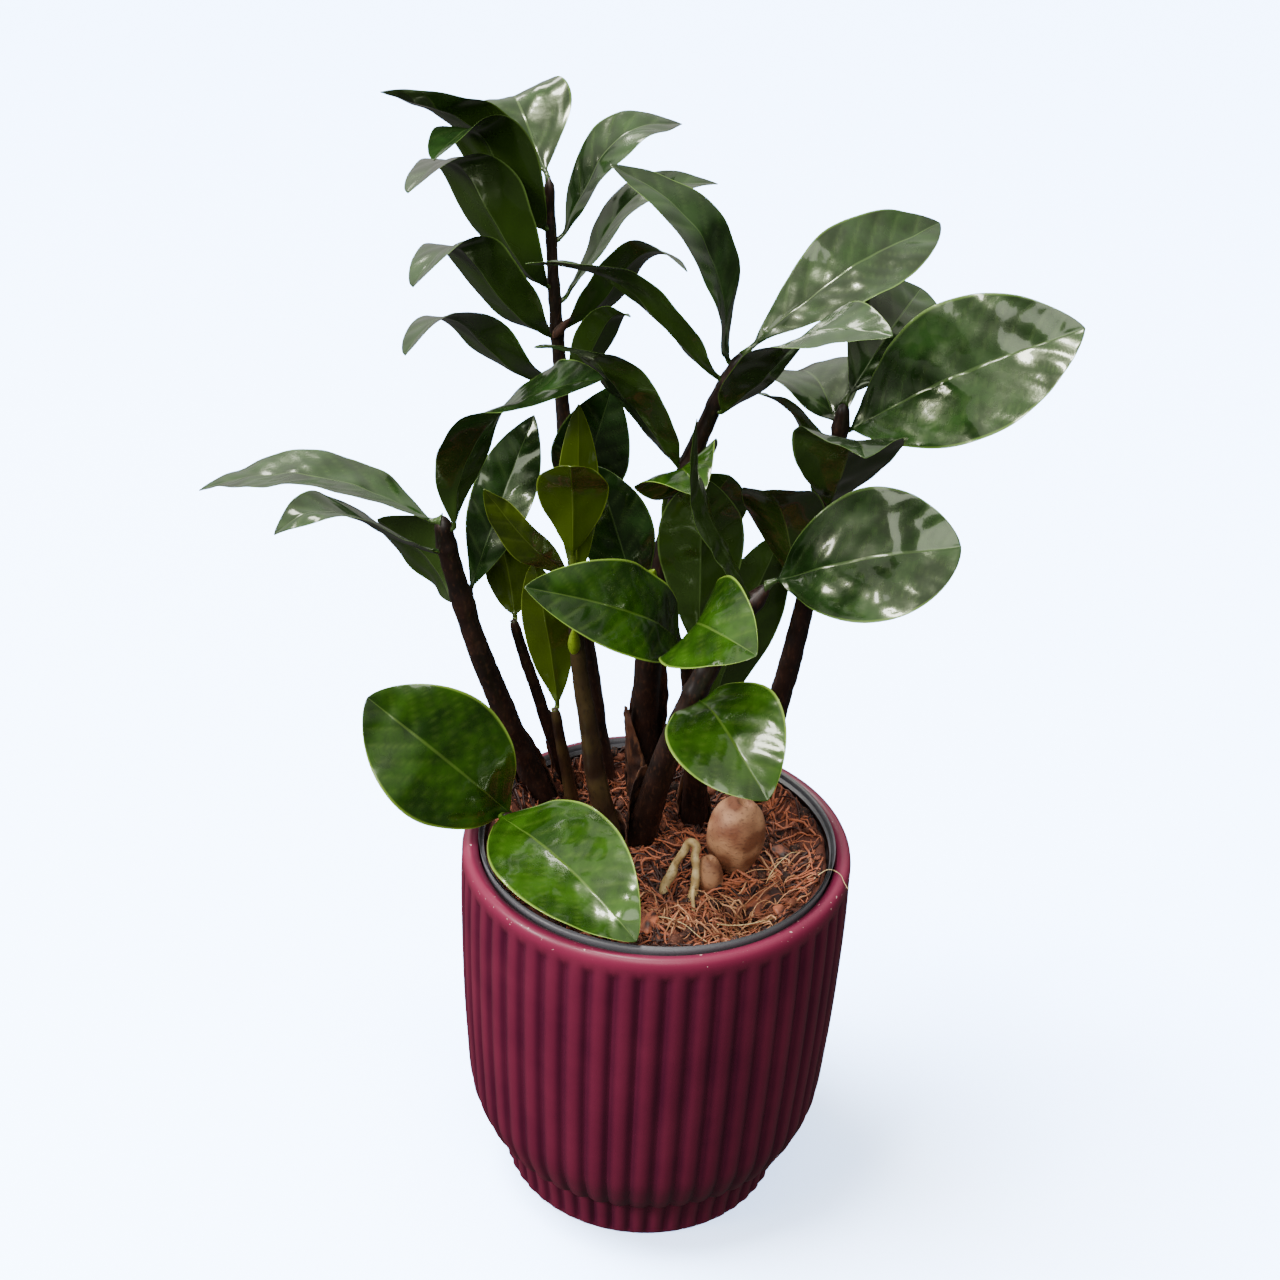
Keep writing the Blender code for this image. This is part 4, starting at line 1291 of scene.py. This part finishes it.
@dataclass
class Foliage:
    """Every shoot, leaf, bract and bud of the plant."""

    seed: int = 100

    def bracts(self) -> list[PaperyBract]:
        """Return the papery sheaths round the stems' feet.

        Returns:
            One sheath or two for each stem that shows them.
        """
        return [
            PaperyBract("bract_mid_foot", STEMS["mid"], -0.01, 0.31, 70, 250, 2.0, 201),
            PaperyBract("bract_mid_side", STEMS["mid"], 0.0, 0.2, 210, 170, 1.6, 202),
            PaperyBract("bract_arched", STEMS["arched"], -0.01, 0.2, 130, 200, 1.8, 203),
            PaperyBract("bract_front", STEMS["front"], -0.01, 0.12, 60, 220, 1.2, 204),
            PaperyBract("bract_left", STEMS["left"], -0.01, 0.22, 100, 200, 1.6, 205),
            PaperyBract("bract_slim", STEMS["slim_left"], -0.01, 0.3, 80, 230, 1.2, 206),
            PaperyBract("bract_inner", STEMS["inner"], -0.01, 0.25, 100, 200, 1.4, 207),
            PaperyBract("bract_right", STEMS["right"], -0.01, 0.12, 90, 200, 1.4, 208),
        ]

    def buds(self) -> list[Bud]:
        """Return the small buds and scales at the joints."""
        return [
            Bud("bud_centre", (-8.5, 3.0, 110.0), (-6.0, -6.0, 121.0), 2.6, BUD, "young_leaf"),
            Bud("bud_front", (-31.5, 0.0, 84.0), (-32.0, -5.0, 97.0), 2.2, BUD, "young_leaf"),
            Bud("scale_tall", (-44.5, 56.0, 176.0), (-38.0, 50.0, 186.0), 1.7, BRACT, "stem"),
        ]

    def build(self) -> None:
        """Build the shoots, then the leaves on them, then the small parts."""
        for number, (name, stem) in enumerate(STEMS.items()):
            Shoot(name, stem, self.seed + 10 * number).build()
        for number, (name, leaf) in enumerate(LEAVES.items()):
            Blade(name, leaf, self.seed + 300 + 7 * number).build()
        for small in (*self.bracts(), *self.buds()):
            small.build()


# ---------------------------------------------------------------------------------------------
# Studio
# ---------------------------------------------------------------------------------------------


class Softbox(NamedTuple):
    """A square lamp aimed at the plant."""

    place: Point
    side: float
    watts: float
    colour: str


@dataclass
class Studio:
    """A pale floor, soft lamps, a pale surround and the camera. Lengths here are in metres."""

    target: Point = (-0.0096, 0.0, 0.2249)
    distance: float = 0.6085
    elevation: float = 29.372
    roll: float = 2.769
    lens: float = 50.6
    sensor: float = 36.0
    floor_half: float = 9.0
    backdrop: float = 11.0

    def softboxes(self) -> dict[str, Softbox]:
        """Return the lamps that light the plant.

        Returns:
            Lamps by name: overhead, at the left, high behind and, over the camera, small and wide.
        """
        return {
            "key_softbox": Softbox((-0.3, -0.15, 1.6), 0.24, 18.0, "#fffdf8"),
            "left_softbox": Softbox((-1.35, -0.5, 0.8), 0.35, 18.0, "#fff8f6"),
            "rear_softbox": Softbox((-0.6, 0.9, 1.5), 0.35, 9.0, "#fffef6"),
            "brow_softbox": Softbox((-0.75, -0.8, 1.25), 0.2, 8.0, "#fffdf8"),
            "wide_softbox": Softbox((-0.05, -1.15, 1.2), 0.75, 8.5, "#f8fbf4"),
        }

    def build(self) -> None:
        """Lay the floor, hang the lamps, light the surround and set the camera."""
        self.floor_lamp(self.floor())
        for name, box in self.softboxes().items():
            self.lamp(name, box)
        self.surround()
        self.camera()

    def floor(self) -> bpy.types.Object:
        """Lay a wide level floor that shows, but throws no light back on the plant.

        Returns:
            The floor.
        """
        corner = self.floor_half
        mesh = bpy.data.meshes.new("studio_floor")
        corners = [(x * corner, y * corner, 0.0) for x, y in ((-1, -1), (1, -1), (1, 1), (-1, 1))]
        mesh.from_pydata(corners, [], [(0, 1, 2, 3)])
        mesh.materials.append(MattePaint("matte_floor_paint").material())
        floor = bpy.data.objects.new("studio_floor", mesh)
        bpy.context.scene.collection.objects.link(floor)
        floor.visible_diffuse = False
        floor.visible_glossy = False
        return floor

    def floor_lamp(self, floor: bpy.types.Object) -> None:
        """Light the floor alone from the left, one lamp for the soft shadow and one to fill it.

        Args:
            floor: The only object that these lamps light.
        """
        lit = bpy.data.collections.new("lit_by_floor_lamps")
        lit.objects.link(floor)
        for name, power, casts in (("floor_lamp", 31.0, True), ("floor_fill", 12.0, False)):
            light = bpy.data.lights.new(name, "SUN")
            light.energy = power
            light.angle = math.radians(34.0)
            light.use_shadow = casts
            light.color = linear("#b4d2ff")[:3]
            lamp = bpy.data.objects.new(name, light)
            lamp.rotation_euler = Vector((0.42, -0.05, -1.0)).to_track_quat("-Z", "Y").to_euler()
            bpy.context.scene.collection.objects.link(lamp)
            lamp.light_linking.receiver_collection = lit

    def lamp(self, name: str, box: Softbox) -> None:
        """Hang one softbox, turned to face the plant.

        Args:
            name: Name of the lamp.
            box: Its place, size, power and colour.
        """
        light = bpy.data.lights.new(name, "AREA")
        light.shape = "SQUARE"
        light.size = box.side
        light.energy = box.watts
        light.color = linear(box.colour)[:3]
        lamp = bpy.data.objects.new(name, light)
        lamp.location = box.place
        aim = Vector(self.target) - Vector(box.place)
        lamp.rotation_euler = aim.to_track_quat("-Z", "Y").to_euler()
        bpy.context.scene.collection.objects.link(lamp)

    def surround(self) -> None:
        """Light the room evenly from above and behind, dim below, in front of a pale backdrop.

        The light falls off with the angle from a point high over the plant: the direction's
        product with that point's is mapped from -0.15..0.95 to 0.08..1.3. Only the backdrop that
        the camera sees directly is evenly pale.
        """
        world = bpy.data.worlds.new("pale_surround")
        world.use_nodes = True
        tree = world.node_tree
        direction = add_node(tree, "ShaderNodeTexCoord").outputs["Generated"]
        high = add_node(
            tree, "ShaderNodeVectorMath", {0: direction, 1: (-0.28, 0.2, 0.94)}, operation="DOT_PRODUCT"
        ).outputs["Value"]
        level = add_node(
            tree, "ShaderNodeMapRange",
            {"Value": high, "From Min": -0.15, "From Max": 0.95, "To Min": 0.08, "To Max": 1.3},
        ).outputs[0]
        seen = add_node(tree, "ShaderNodeLightPath").outputs["Is Camera Ray"]
        strength = add_node(tree, "ShaderNodeMix", {0: seen, 2: level, 3: self.backdrop}).outputs[0]
        tint = add_node(
            tree, "ShaderNodeMix",
            {0: seen, 6: linear("#f6f4ec"), 7: linear("#b8d4ff")}, data_type="RGBA",
        ).outputs[2]
        background = tree.nodes["Background"]
        tree.links.new(tint, background.inputs["Color"])
        tree.links.new(strength, background.inputs["Strength"])
        bpy.context.scene.world = world

    def camera(self) -> None:
        """Set the camera on its target at its distance, elevation and roll."""
        rise, tilt = math.radians(self.elevation), math.radians(self.roll)
        forward = Vector((0.0, math.cos(rise), -math.sin(rise)))
        level = Vector((1.0, 0.0, 0.0))
        upright = level.cross(forward)
        right = math.cos(tilt) * level + math.sin(tilt) * upright
        up = math.cos(tilt) * upright - math.sin(tilt) * level
        data = bpy.data.cameras.new("camera")
        data.lens = self.lens
        data.sensor_width = self.sensor
        camera = bpy.data.objects.new("camera", data)
        turned = Matrix((right, up, -forward)).transposed().to_4x4()
        camera.matrix_world = Matrix.Translation(Vector(self.target) - forward * self.distance) @ turned
        bpy.context.scene.collection.objects.link(camera)
        bpy.context.scene.camera = camera


def main() -> None:
    """Build every sub-assembly round the frame."""
    logging.basicConfig(level=logging.INFO, format="%(name)s: %(message)s")
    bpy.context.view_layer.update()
    CoverPot().build()
    NurseryLiner().build()
    CoirBed().build()
    Tuber("tuber_large", (28, -1, 12), (10.5, 10.0, 16.5), 4, 61).build()
    Tuber("tuber_small", (19, -15, 4), (5.0, 5.5, 9.0), -6, 71).build()
    SurfaceRoots().build()
    Foliage().build()
    Studio().build()


if __name__ == "__main__":
    main()
